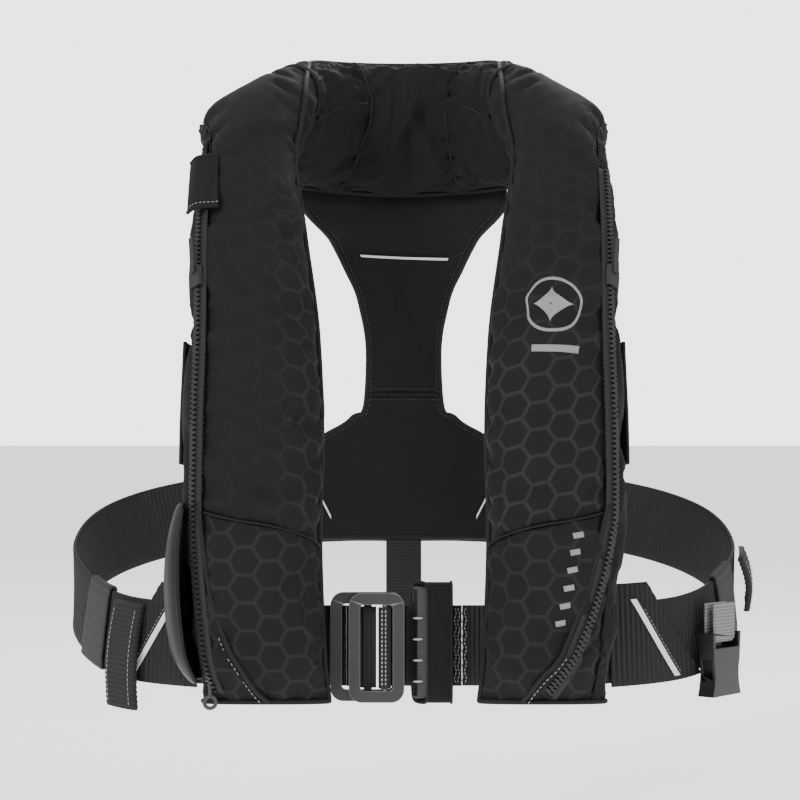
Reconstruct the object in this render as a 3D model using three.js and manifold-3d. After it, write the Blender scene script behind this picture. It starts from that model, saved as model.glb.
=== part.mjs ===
// An inflatable life jacket in its packed state: a horseshoe-shaped fabric cover that holds a folded
// bladder and its inflator, a flat back panel, a waist belt with an alloy through-and-turn buckle, and
// a short crotch strap.
//
// Millimetres, +Z up, front towards -Y. The wearer's right is -X. The origin is the centre of the neck
// opening, level with the shoulders, where the jacket hangs on its wearer.

import * as THREE from 'three';
import { mergeVertices } from 'three/addons/utils/BufferGeometryUtils.js';
import Module from 'manifold-3d';

const wasm = await Module();
wasm.setup();

// ---------------------------------------------------------------- driving dimensions

const GAP = 0.3;                 // air between touching pieces
const COVER_WALL = 1.6;          // cover cloth with its backing

const NECK_WIDTH = 146;          // between the lobes, at the shoulders
const LOBE_WIDTH = 83;           // a lobe at its widest
const LOBE_THICKNESS = 46;       // a packed lobe, front to back
const FRONT_LENGTH = 349;        // shoulder level down to the hem
const CHEST_REACH = 132;         // origin forward to the middle of a lobe's foot
const NAPE_REACH = 72;           // origin back to the middle of the collar
const COLLAR_HEIGHT = 90;
const COLLAR_THICKNESS = 40;
const COLLAR_RISE = 21;          // collar's middle above the origin

const WEBBING_WIDTH = 50;        // waist belt
const WEBBING_THICKNESS = 1.8;
const BELT_HALF_WIDTH = 217;     // centre line, at the wearer's sides
const BELT_FRONT_HEIGHT = -318;  // centre line of the belt at the buckle
const BELT_BACK_HEIGHT = -238;   // centre line of the belt behind the back panel
const BELT_CLEARANCE = 5.55;     // belt's outer face to the back of a lobe
const BELT_BACK_REACH = 119;

const BACK_PANEL_THICKNESS = 4;
const BACK_PANEL_FOOT = -263;    // height of its lower edge
const BACK_PANEL_SEAM = -162;    // height of the seam between its two parts
const BACK_PANEL_REACH = 108;    // depth of its lower part

const CROTCH_WIDTH = 25;
const CROTCH_LENGTH = 84;

const FRAME_CLEARANCE = 1.5;     // webbing to a buckle frame's window, at each edge
const FRAME_WIDTH = 34;          // alloy buckle frames
const FRAME_BAR = 7;
const FRAME_THICKNESS = 3.6;
const FRAME_CORNER = 8;
const REAR_FRAME_WIDTH = 45;

const PAD_LENGTH = 26;           // sleeve beside the buckle
const PAD_OVERHANG = 12.5;       // beyond the webbing, at each edge
const PAD_DEPTH = 19;
const PAD_WALL = 2.2;
const LINING_WALL = 1.4;

const KEEPER_LENGTH = 26;        // elastic keepers on the belt
const KEEPER_WALL = 1.6;
const KEEPER_CLEARANCE = 1;

const CLIP_WIDTH = 33;           // side-release clip, socket half
const CLIP_HEIGHT = 40;
const CLIP_THICKNESS = 11.5;
const CLIP_MOUTH_WIDTH = 25;
const CLIP_MOUTH_HEIGHT = 7.2;
const CLIP_MOUTH_DEPTH = 30;
const CLIP_TURN = 50;            // degrees about the vertical
const CLIP_WEBBING = 25;

const CYLINDER_RADIUS = 14;      // gas cylinder
const CYLINDER_LENGTH = 118;
const INFLATOR_WIDTH = 34;
const INFLATOR_HEIGHT = 36;
const INFLATOR_DEPTH = 24;
const LEVER_PIN_RADIUS = 1.6;
const LEVER_LENGTH = 24;
const PULL_CORD_RADIUS = 1.2;

const ORAL_TUBE_RADIUS = 6;
const ORAL_TUBE_WALL = 1.5;
const ORAL_TUBE_LENGTH = 90;

const frameHeight = WEBBING_WIDTH + 2 * (FRAME_CLEARANCE + FRAME_BAR);
const padHeight = WEBBING_WIDTH + 2 * PAD_OVERHANG;

// ---------------------------------------------------------------- colours and finishes

const cloth = { color: 0x1d1d1e, roughness: 0.85, metalness: 0 };
const lining = { color: 0x121213, roughness: 0.9, metalness: 0 };
const webbing = { color: 0x17171a, roughness: 0.8, metalness: 0 };
const greyWebbing = { color: 0x8f9194, roughness: 0.8, metalness: 0 };
const elastic = { color: 0x3c3c3e, roughness: 0.85, metalness: 0 };
const reflective = { color: 0xb8b8b6, roughness: 0.4, metalness: 0.2 };
const alloy = { color: 0x64666a, roughness: 0.42, metalness: 0.9 };
const steel = { color: 0x9a9da1, roughness: 0.3, metalness: 1 };
const glossPlastic = { color: 0x1b1b1d, roughness: 0.3, metalness: 0 };
const bladderCloth = { color: 0xd7c320, roughness: 0.6, metalness: 0 };
const clearPlastic = { color: 0xd8dcd8, roughness: 0.2, metalness: 0 };
const signalRed = { color: 0xb3201c, roughness: 0.45, metalness: 0 };

// ---------------------------------------------------------------- modelling helpers

const group = new THREE.Group();
const UP = new THREE.Vector3(0, 0, 1);
const ACROSS = new THREE.Vector3(1, 0, 0);

function signedVolume(geometry) {
  const position = geometry.getAttribute('position');
  const index = geometry.getIndex();
  const [a, b, c] = [new THREE.Vector3(), new THREE.Vector3(), new THREE.Vector3()];
  let volume = 0;
  for (let i = 0; i < index.count; i += 3) {
    a.fromBufferAttribute(position, index.getX(i));
    b.fromBufferAttribute(position, index.getX(i + 1));
    c.fromBufferAttribute(position, index.getX(i + 2));
    volume += a.dot(b.cross(c)) / 6;
  }
  return volume;
}

// Joins the shared vertices and turns the faces outwards.
function closed(geometry) {
  geometry.deleteAttribute('normal');
  geometry.deleteAttribute('uv');
  const solid = mergeVertices(geometry, 1e-3);
  if (signedVolume(solid) < 0) {
    const index = solid.getIndex();
    for (let i = 0; i < index.count; i += 3) {
      const first = index.getX(i);
      index.setX(i, index.getX(i + 1));
      index.setX(i + 1, first);
    }
  }
  solid.computeVertexNormals();
  return solid;
}

function add(name, geometry, finish) {
  const mesh = new THREE.Mesh(closed(geometry), new THREE.MeshStandardMaterial(finish));
  mesh.name = name;
  group.add(mesh);
  return mesh;
}

// A closed sheet or block whose three directions follow place(u, v, w), each from 0 to 1.
function warped(alongSteps, acrossSteps, place, throughSteps = 1) {
  const geometry = new THREE.BoxGeometry(1, 1, 1, alongSteps, acrossSteps, throughSteps);
  const position = geometry.getAttribute('position');
  for (let i = 0; i < position.count; i += 1) {
    const point = place(position.getX(i) + 0.5, position.getY(i) + 0.5, position.getZ(i) + 0.5);
    position.setXYZ(i, point.x, point.y, point.z);
  }
  return geometry;
}

function toManifold(geometry) {
  const solid = closed(geometry);
  return new wasm.Manifold(new wasm.Mesh({
    numProp: 3,
    vertProperties: new Float32Array(solid.getAttribute('position').array),
    triVerts: new Uint32Array(solid.getIndex().array),
  }));
}

function fromManifold(manifold) {
  const mesh = manifold.getMesh();
  const geometry = new THREE.BufferGeometry();
  geometry.setAttribute('position', new THREE.BufferAttribute(mesh.vertProperties, 3));
  geometry.setIndex(new THREE.BufferAttribute(mesh.triVerts, 1));
  return geometry;
}

function cut(geometry, ...tools) {
  return fromManifold(tools.reduce((rest, tool) => rest.subtract(toManifold(tool)), toManifold(geometry)));
}

function joined(first, ...others) {
  return fromManifold(others.reduce((all, other) => all.add(toManifold(other)), toManifold(first)));
}

function mix(a, b, share) {
  return a + (b - a) * share;
}

function smooth(share) {
  const s = THREE.MathUtils.clamp(share, 0, 1);
  return s * s * (3 - 2 * s);
}

function roundedOutline(width, height, radius) {
  const [x, y] = [width / 2, height / 2];
  const shape = new THREE.Shape();
  shape.moveTo(-x + radius, -y);
  shape.lineTo(x - radius, -y);
  shape.absarc(x - radius, -y + radius, radius, -Math.PI / 2, 0);
  shape.lineTo(x, y - radius);
  shape.absarc(x - radius, y - radius, radius, 0, Math.PI / 2);
  shape.lineTo(-x + radius, y);
  shape.absarc(-x + radius, y - radius, radius, Math.PI / 2, Math.PI);
  shape.lineTo(-x, -y + radius);
  shape.absarc(-x + radius, -y + radius, radius, Math.PI, 1.5 * Math.PI);
  return shape;
}

// ---------------------------------------------------------------- the horseshoe roll

// Stations of the padded roll from the hem of the right lobe to the middle of the nape. drop and reach
// are shares of the front length and chest reach; lean turns the roll's width from across to upright.
const rightHalf = [
  { drop: 1.000, reach: 1.00, inside: 45, width: 0.93, thickness: 0.24, lean: 0 },
  { drop: 0.915, reach: 1.00, inside: 48, width: 0.95, thickness: 0.98, lean: 0 },
  { drop: 0.720, reach: 0.96, inside: 51, width: 0.98, thickness: 1.04, lean: 0 },
  { drop: 0.540, reach: 0.89, inside: 50, width: 1.00, thickness: 1.00, lean: 0 },
  { drop: 0.360, reach: 0.79, inside: 53, width: 0.95, thickness: 0.98, lean: 0 },
  { drop: 0.180, reach: 0.61, inside: 62, width: 0.84, thickness: 0.98, lean: 2 },
  { drop: 0.030, reach: 0.34, inside: 69, width: 0.72, thickness: 0.96, lean: 14 },
].map(({ drop, reach, inside, width, thickness, lean }) => ({
  x: -(inside + (NECK_WIDTH - 146) / 2 + (width * LOBE_WIDTH) / 2),
  y: -reach * CHEST_REACH,
  z: -drop * FRONT_LENGTH,
  halfWidth: (width * LOBE_WIDTH) / 2,
  halfThickness: (thickness * LOBE_THICKNESS) / 2,
  lean: THREE.MathUtils.degToRad(lean),
}));

const nape = [
  { spread: 0.630, back: -0.07, rise: 0.72, width: 0.84, thickness: 1.10, lean: 38 },
  { spread: 0.505, back: 0.48, rise: 1.00, width: 0.94, thickness: 1.06, lean: 66 },
  { spread: 0.285, back: 0.87, rise: 1.02, width: 0.98, thickness: 1.00, lean: 84 },
  { spread: 0.000, back: 1.00, rise: 1.00, width: 1.00, thickness: 1.00, lean: 90 },
].map(({ spread, back, rise, width, thickness, lean }) => ({
  x: -spread * NECK_WIDTH,
  y: back * NAPE_REACH,
  z: rise * COLLAR_RISE,
  halfWidth: (width * COLLAR_HEIGHT) / 2,
  halfThickness: (thickness * COLLAR_THICKNESS) / 2,
  lean: THREE.MathUtils.degToRad(lean),
}));

const half = [...rightHalf, ...nape];
const NAPE_STATION = half.length - 1;
const LAST_STATION = 2 * NAPE_STATION;
const otherHalf = half.slice(0, NAPE_STATION).reverse()
  .map((station) => ({ ...station, x: -station.x, lean: Math.PI - station.lean }));
const stations = [...half, ...otherHalf];

function through(read) {
  return new THREE.CatmullRomCurve3(stations.map(read), false, 'centripetal');
}

const rollPath = through((s) => new THREE.Vector3(s.x, s.y, s.z));
const rollSize = through((s) => new THREE.Vector3(s.halfWidth, s.halfThickness, 0));
const rollWidthway = through((s) => new THREE.Vector3(Math.cos(s.lean), 0, Math.sin(s.lean)));

const LEVEL_UNTIL = 1.5;         // below this station the lobe's sections lie level

// The roll's centre, its half sizes, and its three directions at a station from 0 to LAST_STATION.
// inward points from the outer edge to the inner edge, and outward away from the wearer.
function rollFrame(station) {
  const share = THREE.MathUtils.clamp(station / LAST_STATION, 0, 1);
  const along = rollPath.getTangent(share);
  const inward = rollWidthway.getPoint(share);
  const fromHem = Math.min(station, LAST_STATION - station);
  inward.addScaledVector(along, -inward.dot(along) * smooth((fromHem - LEVEL_UNTIL) / 2)).normalize();
  const outward = inward.clone().cross(along).normalize();
  const size = rollSize.getPoint(share);
  return { centre: rollPath.getPoint(share), along, inward, outward, halfWidth: size.x, halfThickness: size.y };
}

const SQUARENESS = 0.82;

// A point on the roll, turn degrees from its outer edge, over the face away from the wearer, to its
// inner edge, and depth below the skin.
function onRoll(station, turn, depth = 0) {
  const frame = rollFrame(station);
  const angle = THREE.MathUtils.degToRad(turn);
  const [c, s] = [-Math.cos(angle), Math.sin(angle)];
  const across = Math.sign(c) * Math.abs(c) ** SQUARENESS * (frame.halfWidth - depth);
  const out = Math.sign(s) * Math.abs(s) ** SQUARENESS * (frame.halfThickness - depth);
  return frame.centre.addScaledVector(frame.inward, across).addScaledVector(frame.outward, out);
}

function rollShell(from, to, turnFrom, turnTo, { wall = COVER_WALL, depth = 0, steps = 12, sides = 10 } = {}) {
  return warped(steps, sides, (u, v, w) => {
    const turn = mix(turnFrom, turnTo, v);
    const station = mix(from(turn), to(turn), u);
    return onRoll(station, turn, depth + wall * (1 - w));
  });
}

const at = (station) => () => station;
const EDGE_TURN = 1.2;           // half the slit left where two shells meet
const ZIP_SLIT = 2.6;            // degrees of slit between the zip and the shells beside it
const ZIP_FROM = 33;             // the zip's place around the roll, in degrees
const ZIP_TO = 41;
const SEAM_SLIT = 0.012;         // half the slit between the upper and lower panels, in stations
const LOWER_SEAM_OUTER = 2.36;
const LOWER_SEAM_INNER = 1.92;
const COLLAR_START = 7.55;
const HEM = 0;
const ZIP_FOOT = 1;
const ZIP_TOP = 5.6;

const lowerSeam = (turn) => mix(LOWER_SEAM_OUTER, LOWER_SEAM_INNER, turn / 180);

// A station of the right lobe, as the same station of the lobe on the given side.
const onSide = (side, station) => (side === 'right' ? station : LAST_STATION - station);

for (const side of ['right', 'left']) {
  const s = (station) => (turn) => onSide(side, typeof station === 'function' ? station(turn) : station);
  add(`cover_front_upper_${side}`, rollShell(
    s((turn) => lowerSeam(turn) + SEAM_SLIT),
    s(COLLAR_START - SEAM_SLIT),
    ZIP_TO + ZIP_SLIT,
    180 - EDGE_TURN,
    { steps: 24 },
  ), cloth);
  add(`cover_front_lower_${side}`, rollShell(
    s(HEM),
    s((turn) => lowerSeam(turn) - SEAM_SLIT),
    ZIP_TO + ZIP_SLIT,
    180 - EDGE_TURN,
    { steps: 8 },
  ), cloth);
  add(`cover_back_${side}`, rollShell(
    s(HEM),
    s(COLLAR_START - SEAM_SLIT),
    ZIP_FROM - ZIP_SLIT,
    -180 + EDGE_TURN,
    { steps: 16 },
  ), lining);
  add(`zip_${side}`, rollShell(
    s(ZIP_FOOT),
    s(ZIP_TOP),
    ZIP_FROM,
    ZIP_TO,
    { steps: 14, sides: 1 },
  ), glossPlastic);
  add(`cover_shoulder_edge_${side}`, rollShell(
    s(ZIP_TOP + 2 * SEAM_SLIT),
    s(COLLAR_START - SEAM_SLIT),
    ZIP_FROM,
    ZIP_TO,
    { steps: 12, sides: 1 },
  ), cloth);
}

// ---------------------------------------------------------------- collar

const COLLAR_SEAM = 1.02;        // stations from the nape's middle to each gathered seam
const collarPanels = [
  ['collar_right', COLLAR_START, NAPE_STATION - COLLAR_SEAM],
  ['collar_centre', NAPE_STATION - COLLAR_SEAM, NAPE_STATION + COLLAR_SEAM],
  ['collar_left', NAPE_STATION + COLLAR_SEAM, LAST_STATION - COLLAR_START],
];
for (const [name, from, to] of collarPanels) {
  add(name, rollShell(
    at(from + SEAM_SLIT),
    at(to - SEAM_SLIT),
    -EDGE_TURN,
    -180 + EDGE_TURN,
    { steps: 8 },
  ), lining);
}
add('collar_outer', rollShell(
  at(COLLAR_START + SEAM_SLIT),
  at(LAST_STATION - COLLAR_START - SEAM_SLIT),
  EDGE_TURN,
  180 - EDGE_TURN,
  { steps: 18 },
), cloth);

// ---------------------------------------------------------------- bladder

const BLADDER_START = 3.85;      // station above the inflator and the oral tube
const BLADDER_CLEARANCE = 2.4;   // folded bladder to the inside of its cover
const bladderDepth = COVER_WALL + BLADDER_CLEARANCE;

const bladder = new THREE.CylinderGeometry(1, 1, 1, 14, 26);
const bladderPoints = bladder.getAttribute('position');
for (let i = 0; i < bladderPoints.count; i += 1) {
  const radius = Math.hypot(bladderPoints.getX(i), bladderPoints.getZ(i));
  const turn = THREE.MathUtils.radToDeg(Math.atan2(bladderPoints.getZ(i), bladderPoints.getX(i)));
  const station = mix(BLADDER_START, LAST_STATION - BLADDER_START, bladderPoints.getY(i) + 0.5);
  const { centre } = rollFrame(station);
  const point = centre.lerp(onRoll(station, turn, bladderDepth), radius);
  bladderPoints.setXYZ(i, point.x, point.y, point.z);
}
add('bladder', bladder, bladderCloth);

// ---------------------------------------------------------------- back panel

// Half widths of the flat hourglass, as shares of the way down from the collar to its foot.
const backOutline = new THREE.CatmullRomCurve3([
  [72, 0], [55, 0.09], [40, 0.2], [29.5, 0.31], [24.5, 0.46], [25.5, 0.57], [36, 0.645],
  [56, 0.7], [76, 0.76], [84, 0.85], [82, 1],
].map(([halfWidth, down]) => new THREE.Vector3(halfWidth, down, 0)), false, 'centripetal');

const OUTLINE_SAMPLES = 120;
const backOutlinePoints = backOutline.getPoints(OUTLINE_SAMPLES);

function backHalfWidth(down) {
  const next = backOutlinePoints.findIndex((point) => point.y >= down);
  if (next < 1) return backOutlinePoints[Math.max(next, 0)].x;
  const [a, b] = [backOutlinePoints[next - 1], backOutlinePoints[next]];
  return mix(a.x, b.x, (down - a.y) / (b.y - a.y));
}

const BACK_PANEL_WRAP = 0.0016;  // how far its sides come forward, by the square of the distance
const BACK_TOP_GAP = 2.5;        // below the collar
const BACK_TOP_SPREAD = 1.65;    // stations that its top edge covers, each way from the nape

function onBackPanel(down, across, depth) {
  const station = NAPE_STATION + across * BACK_TOP_SPREAD;
  const top = onRoll(station, 0);
  const height = mix(top.z - BACK_TOP_GAP, BACK_PANEL_FOOT, down);
  const flatTop = onRoll(NAPE_STATION, 0).z - BACK_TOP_GAP;
  const flatHeight = mix(flatTop, BACK_PANEL_FOOT, down);
  const x = across * mix(Math.abs(top.x / Math.max(Math.abs(across), 0.01)), backHalfWidth(down), smooth(down * 8));
  const reach = mix(NAPE_REACH + 4, BACK_PANEL_REACH, Math.sin(Math.min(down * 1.5, 1) * Math.PI / 2));
  const y = mix(top.y + 2, reach - BACK_PANEL_WRAP * x * x, smooth(down * 6));
  return new THREE.Vector3(x, y + depth, mix(height, flatHeight, smooth(down * 4)));
}

const backTopHeight = onRoll(NAPE_STATION, 0).z - BACK_TOP_GAP;
const seamDown = (backTopHeight - BACK_PANEL_SEAM) / (backTopHeight - BACK_PANEL_FOOT);
const SEAM_SHARE = 0.003;

function backPart(from, to, steps) {
  return warped(steps, 10, (u, v, w) => onBackPanel(mix(from, to, u), 2 * v - 1, w * BACK_PANEL_THICKNESS));
}

add('back_panel_upper', backPart(0, seamDown - SEAM_SHARE, 12), lining);
add('back_panel_lower', backPart(seamDown + SEAM_SHARE, 1, 10), lining);

// ---------------------------------------------------------------- waist belt

// The station of the right lobe whose middle is at a height.
function stationAtHeight(height) {
  let [low, high] = [0, NAPE_STATION / 2];
  for (let i = 0; i < 40; i += 1) {
    const middle = (low + high) / 2;
    if (rollFrame(middle).centre.z < height) {
      low = middle;
    } else {
      high = middle;
    }
  }
  return low;
}

// The belt's front passes close behind the lobes, so it takes its place from the lobe at its height.
const lobeAtBelt = rollFrame(stationAtHeight(BELT_FRONT_HEIGHT));
const lobeBack = -lobeAtBelt.centre.y - lobeAtBelt.halfThickness;
const beltFrontReach = lobeBack - BELT_CLEARANCE - WEBBING_THICKNESS;
const besideLobe = (offset) => (offset - lobeAtBelt.centre.x) / BELT_HALF_WIDTH;

// The belt's centre line from the buckle round the wearer's right side to the middle of the back.
const beltDrop = BELT_FRONT_HEIGHT - BELT_BACK_HEIGHT;
const beltHalf = [
  { spread: besideLobe(-51.6), reach: 0.99, rise: 1.00 },
  { spread: besideLobe(-7.1), reach: 0.98, rise: 1.00 },
  { spread: besideLobe(47.1), reach: 0.90, rise: 0.99 },
  { spread: 0.820, reach: 0.66, rise: 0.95 },
  { spread: 0.930, reach: 0.37, rise: 0.84 },
  { spread: 0.995, reach: 0.06, rise: 0.66 },
  { spread: 0.990, reach: -0.24, rise: 0.48 },
  { spread: 0.935, reach: -0.49, rise: 0.33 },
  { spread: 0.840, reach: -0.69, rise: 0.22 },
  { spread: 0.700, reach: -0.84, rise: 0.13 },
  { spread: 0.450, reach: -0.96, rise: 0.04 },
  { spread: 0.200, reach: -1.00, rise: 0.00 },
  { spread: 0.000, reach: -1.00, rise: 0.00 },
].map(({ spread, reach, rise }) => new THREE.Vector3(
  -spread * BELT_HALF_WIDTH,
  -reach * (reach > 0 ? beltFrontReach : BELT_BACK_REACH),
  BELT_BACK_HEIGHT + rise * beltDrop,
));
const beltCurve = new THREE.CatmullRomCurve3(beltHalf, false, 'centripetal');

// A point on the right-hand half of the belt: share along it, height across the webbing from its
// middle, and out from its face away from the wearer.
function onBelt(share, height, out) {
  const along = beltCurve.getTangentAt(share);
  const upright = UP.clone().addScaledVector(along, -UP.dot(along)).normalize();
  const outward = upright.clone().cross(along).normalize();
  if (outward.dot(beltCurve.getPointAt(share).setZ(0)) < 0) outward.negate();
  return beltCurve.getPointAt(share).addScaledVector(upright, height).addScaledVector(outward, out);
}

const mirrored = (point) => new THREE.Vector3(-point.x, point.y, point.z);
const sideOf = (side, point) => (side === 'right' ? point : mirrored(point));

function beltStrip(side, from, to, steps, { width = WEBBING_WIDTH, inner = 0, outer = WEBBING_THICKNESS } = {}) {
  return warped(steps, 1, (u, v, w) => sideOf(side, onBelt(mix(from, to, u), (v - 0.5) * width, mix(inner, outer, w))));
}

const BACK_JOIN = 0.9985;        // where the two halves are sewn behind the back panel
const BELT_STEPS = 52;
add('belt_right', beltStrip('right', 0, BACK_JOIN, BELT_STEPS), webbing);
add('belt_left', beltStrip('left', 0, BACK_JOIN, BELT_STEPS), webbing);

// A point on the whole belt, whose position runs from 0 at the buckle to 1 at the back and 2 at the pad.
function onWholeBelt(position, height, out) {
  return position <= 1 ? onBelt(position, height, out) : mirrored(onBelt(2 - position, height, out));
}

const SLEEVE_WALL = 1.2;
const SLEEVE_CLEARANCE = 1;
const SLEEVE_SPREAD = 0.13;      // share of the half belt that it covers each way
add('back_belt_sleeve', warped(12, 1, (u, v, w) => onWholeBelt(
  1 + (2 * u - 1) * SLEEVE_SPREAD,
  (v - 0.5) * (WEBBING_WIDTH + 8),
  WEBBING_THICKNESS + SLEEVE_CLEARANCE + w * SLEEVE_WALL,
)), lining);

// Elastic keepers: a flat ring round the belt, free to slide along it.
const KEEPER_RIGHT_SHARE = 0.338;
const KEEPER_LEFT_SHARE = 0.385;
const beltLength = beltCurve.getLength();

function keeper(side, share) {
  const half = KEEPER_LENGTH / 2 / beltLength;
  const spill = 2 / beltLength;
  const clear = KEEPER_CLEARANCE;
  const ring = beltStrip(side, share - half, share + half, 5, {
    width: WEBBING_WIDTH + 2 * (clear + KEEPER_WALL),
    inner: -clear - KEEPER_WALL,
    outer: WEBBING_THICKNESS + clear + KEEPER_WALL,
  });
  const hole = beltStrip(side, share - half - spill, share + half + spill, 5, {
    width: WEBBING_WIDTH + 2 * clear,
    inner: -clear,
    outer: WEBBING_THICKNESS + clear,
  });
  return cut(ring, hole);
}

add('keeper_right', keeper('right', KEEPER_RIGHT_SHARE), elastic);
add('keeper_left', keeper('left', KEEPER_LEFT_SHARE), elastic);

// Folded webbing ends that hang outside the belt beside the keepers.
function webbingEnd(side, share, length, width, turnOut) {
  return warped(8, 1, (u, v, w) => {
    const start = onBelt(share + (v - 0.5) * width / beltLength, WEBBING_WIDTH / 2 - 3, WEBBING_THICKNESS + 3);
    const out = start.clone().setZ(0).normalize();
    const swing = 3 * Math.sin(u * Math.PI);
    start.z -= u * length;
    start.addScaledVector(out, swing + u * turnOut + w * 2 * WEBBING_THICKNESS);
    return sideOf(side, start);
  });
}

add('webbing_end_right', webbingEnd('right', 0.268, 66, 24, 5), webbing);
add('webbing_end_left', webbingEnd('left', 0.452, 34, 20, 4), webbing);

// ---------------------------------------------------------------- alloy buckle

// A flat alloy frame round a window, its face towards the front, with its bars of equal width.
function frameRing(width, middle, back) {
  const shape = roundedOutline(width, frameHeight, FRAME_CORNER);
  const window = roundedOutline(width - 2 * FRAME_BAR, frameHeight - 2 * FRAME_BAR, 2.5);
  shape.holes.push(new THREE.Path(window.getPoints(6)));
  const ring = new THREE.ExtrudeGeometry(shape, { depth: FRAME_THICKNESS, bevelEnabled: false, curveSegments: 5 });
  ring.rotateX(Math.PI / 2);
  ring.translate(middle, back, BELT_FRONT_HEIGHT);
  return ring;
}

const beltFace = -beltFrontReach - WEBBING_THICKNESS;
const REAR_FRAME_BACK = beltFace - 2.6;
const REAR_FRAME_MIDDLE = -23;
const THREADING_BAR_PLACE = -22.5;
const THREADING_BAR_WIDTH = 5;
const HANGING_BAR_RADIUS = 1.6;
const HANGING_BAR_PLACE = -12;
const FRAME_SPACING = 4.4;       // between the two frames, for the webbing threaded over the rear one
const frontFrameBack = REAR_FRAME_BACK - FRAME_THICKNESS - FRAME_SPACING;
const hangingBarReach = frontFrameBack - FRAME_THICKNESS / 2;
const hangingLoopRadius = HANGING_BAR_RADIUS + GAP + WEBBING_THICKNESS;
const FRONT_FRAME_MIDDLE = -17;

const threadingBar = new THREE.BoxGeometry(THREADING_BAR_WIDTH, FRAME_THICKNESS, frameHeight - FRAME_BAR);
threadingBar.translate(THREADING_BAR_PLACE, REAR_FRAME_BACK - FRAME_THICKNESS / 2, BELT_FRONT_HEIGHT);
const rearRing = frameRing(REAR_FRAME_WIDTH, REAR_FRAME_MIDDLE, REAR_FRAME_BACK);
add('buckle_frame_rear', joined(rearRing, threadingBar), alloy);

const hangingBar = new THREE.CylinderGeometry(HANGING_BAR_RADIUS, HANGING_BAR_RADIUS, frameHeight - FRAME_BAR, 16);
hangingBar.rotateX(Math.PI / 2);
hangingBar.translate(HANGING_BAR_PLACE, hangingBarReach, BELT_FRONT_HEIGHT);
const frontRing = frameRing(FRAME_WIDTH, FRONT_FRAME_MIDDLE, frontFrameBack);
add('buckle_frame_front', joined(frontRing, hangingBar), alloy);

// A ribbon of webbing that follows points in plan (across, depth) at the belt's front height.
function frontRibbon(points, steps) {
  const curve = new THREE.CatmullRomCurve3(points.map(([x, y]) => new THREE.Vector3(x, y, 0)), false, 'centripetal');
  return warped(steps, 1, (u, v, w) => {
    const along = curve.getTangentAt(u);
    const out = new THREE.Vector3(along.y, -along.x, 0);
    const height = BELT_FRONT_HEIGHT + (v - 0.5) * WEBBING_WIDTH;
    return curve.getPointAt(u).addScaledVector(out, (w - 0.5) * WEBBING_THICKNESS).setZ(height);
  });
}

const beltMiddle = -beltFrontReach - WEBBING_THICKNESS / 2;
const beltStart = -onBelt(0, 0, 0).x;
const overBar = REAR_FRAME_BACK - FRAME_THICKNESS - WEBBING_THICKNESS / 2 - 0.8;
add('buckle_webbing_right', frontRibbon([
  [-beltStart + GAP, beltMiddle],
  [-31, beltMiddle - 1.2],
  [THREADING_BAR_PLACE - 5.4, REAR_FRAME_BACK - 1.2],
  [THREADING_BAR_PLACE - 3.4, overBar],
  [THREADING_BAR_PLACE + 1.2, overBar],
], 14), webbing);

const wrapRadius = hangingLoopRadius - WEBBING_THICKNESS / 2;
const wrapPoints = [];
for (let turn = 50; turn >= -210; turn -= 30) {
  const angle = THREE.MathUtils.degToRad(turn);
  wrapPoints.push([
    HANGING_BAR_PLACE + wrapRadius * Math.cos(angle),
    hangingBarReach + wrapRadius * Math.sin(angle),
  ]);
}
add('buckle_webbing_left', frontRibbon([
  [beltStart - GAP, beltMiddle],
  [20, beltMiddle],
  [4, beltMiddle],
  [-4, beltMiddle],
  [HANGING_BAR_PLACE + 2.2, REAR_FRAME_BACK + 0.4],
  [HANGING_BAR_PLACE + 1, REAR_FRAME_BACK - FRAME_THICKNESS / 2],
  ...wrapPoints,
], 30), webbing);

// ---------------------------------------------------------------- padded sleeve beside the buckle

const PAD_START = 3.8;
function sleeve(outerHeight, outerDepth, wall, length, start) {
  const shape = roundedOutline(outerHeight, outerDepth, Math.min(outerDepth / 2 - 0.2, 8));
  const bore = roundedOutline(outerHeight - 2 * wall, outerDepth - 2 * wall, Math.min(outerDepth / 2 - wall - 0.2, 7));
  shape.holes.push(new THREE.Path(bore.getPoints(5)));
  const solid = new THREE.ExtrudeGeometry(shape, { depth: length, bevelEnabled: false, curveSegments: 5 });
  solid.rotateY(Math.PI / 2);
  solid.translate(start, beltMiddle, BELT_FRONT_HEIGHT + 2);
  return solid;
}
add('buckle_pad', sleeve(padHeight, PAD_DEPTH, PAD_WALL, PAD_LENGTH, PAD_START), cloth);
const liningGap = PAD_WALL + GAP;
add('buckle_pad_lining', sleeve(
  padHeight - 2 * liningGap,
  PAD_DEPTH - 2 * liningGap,
  LINING_WALL,
  PAD_LENGTH - 2,
  PAD_START + 1,
), elastic);

// ---------------------------------------------------------------- side-release clip on the left loop

const CLIP_SHARE = 0.322;        // where on the left half of the belt it hangs
const CLIP_OUT = 13;             // its middle, out from the belt's inner face
const CLIP_BAR_RADIUS = 2;
const CLIP_BAR_HEIGHT = -316;
const clipMiddle = mirrored(onBelt(CLIP_SHARE, 0, CLIP_OUT)).setZ(0);
const clipTurn = THREE.MathUtils.degToRad(CLIP_TURN);

// From the clip's own frame (X across, Y through, Z up from the hanging bar) to the jacket's.
function placeClip(geometry) {
  geometry.rotateZ(clipTurn);
  geometry.translate(clipMiddle.x, clipMiddle.y, CLIP_BAR_HEIGHT);
  return geometry;
}

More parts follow.
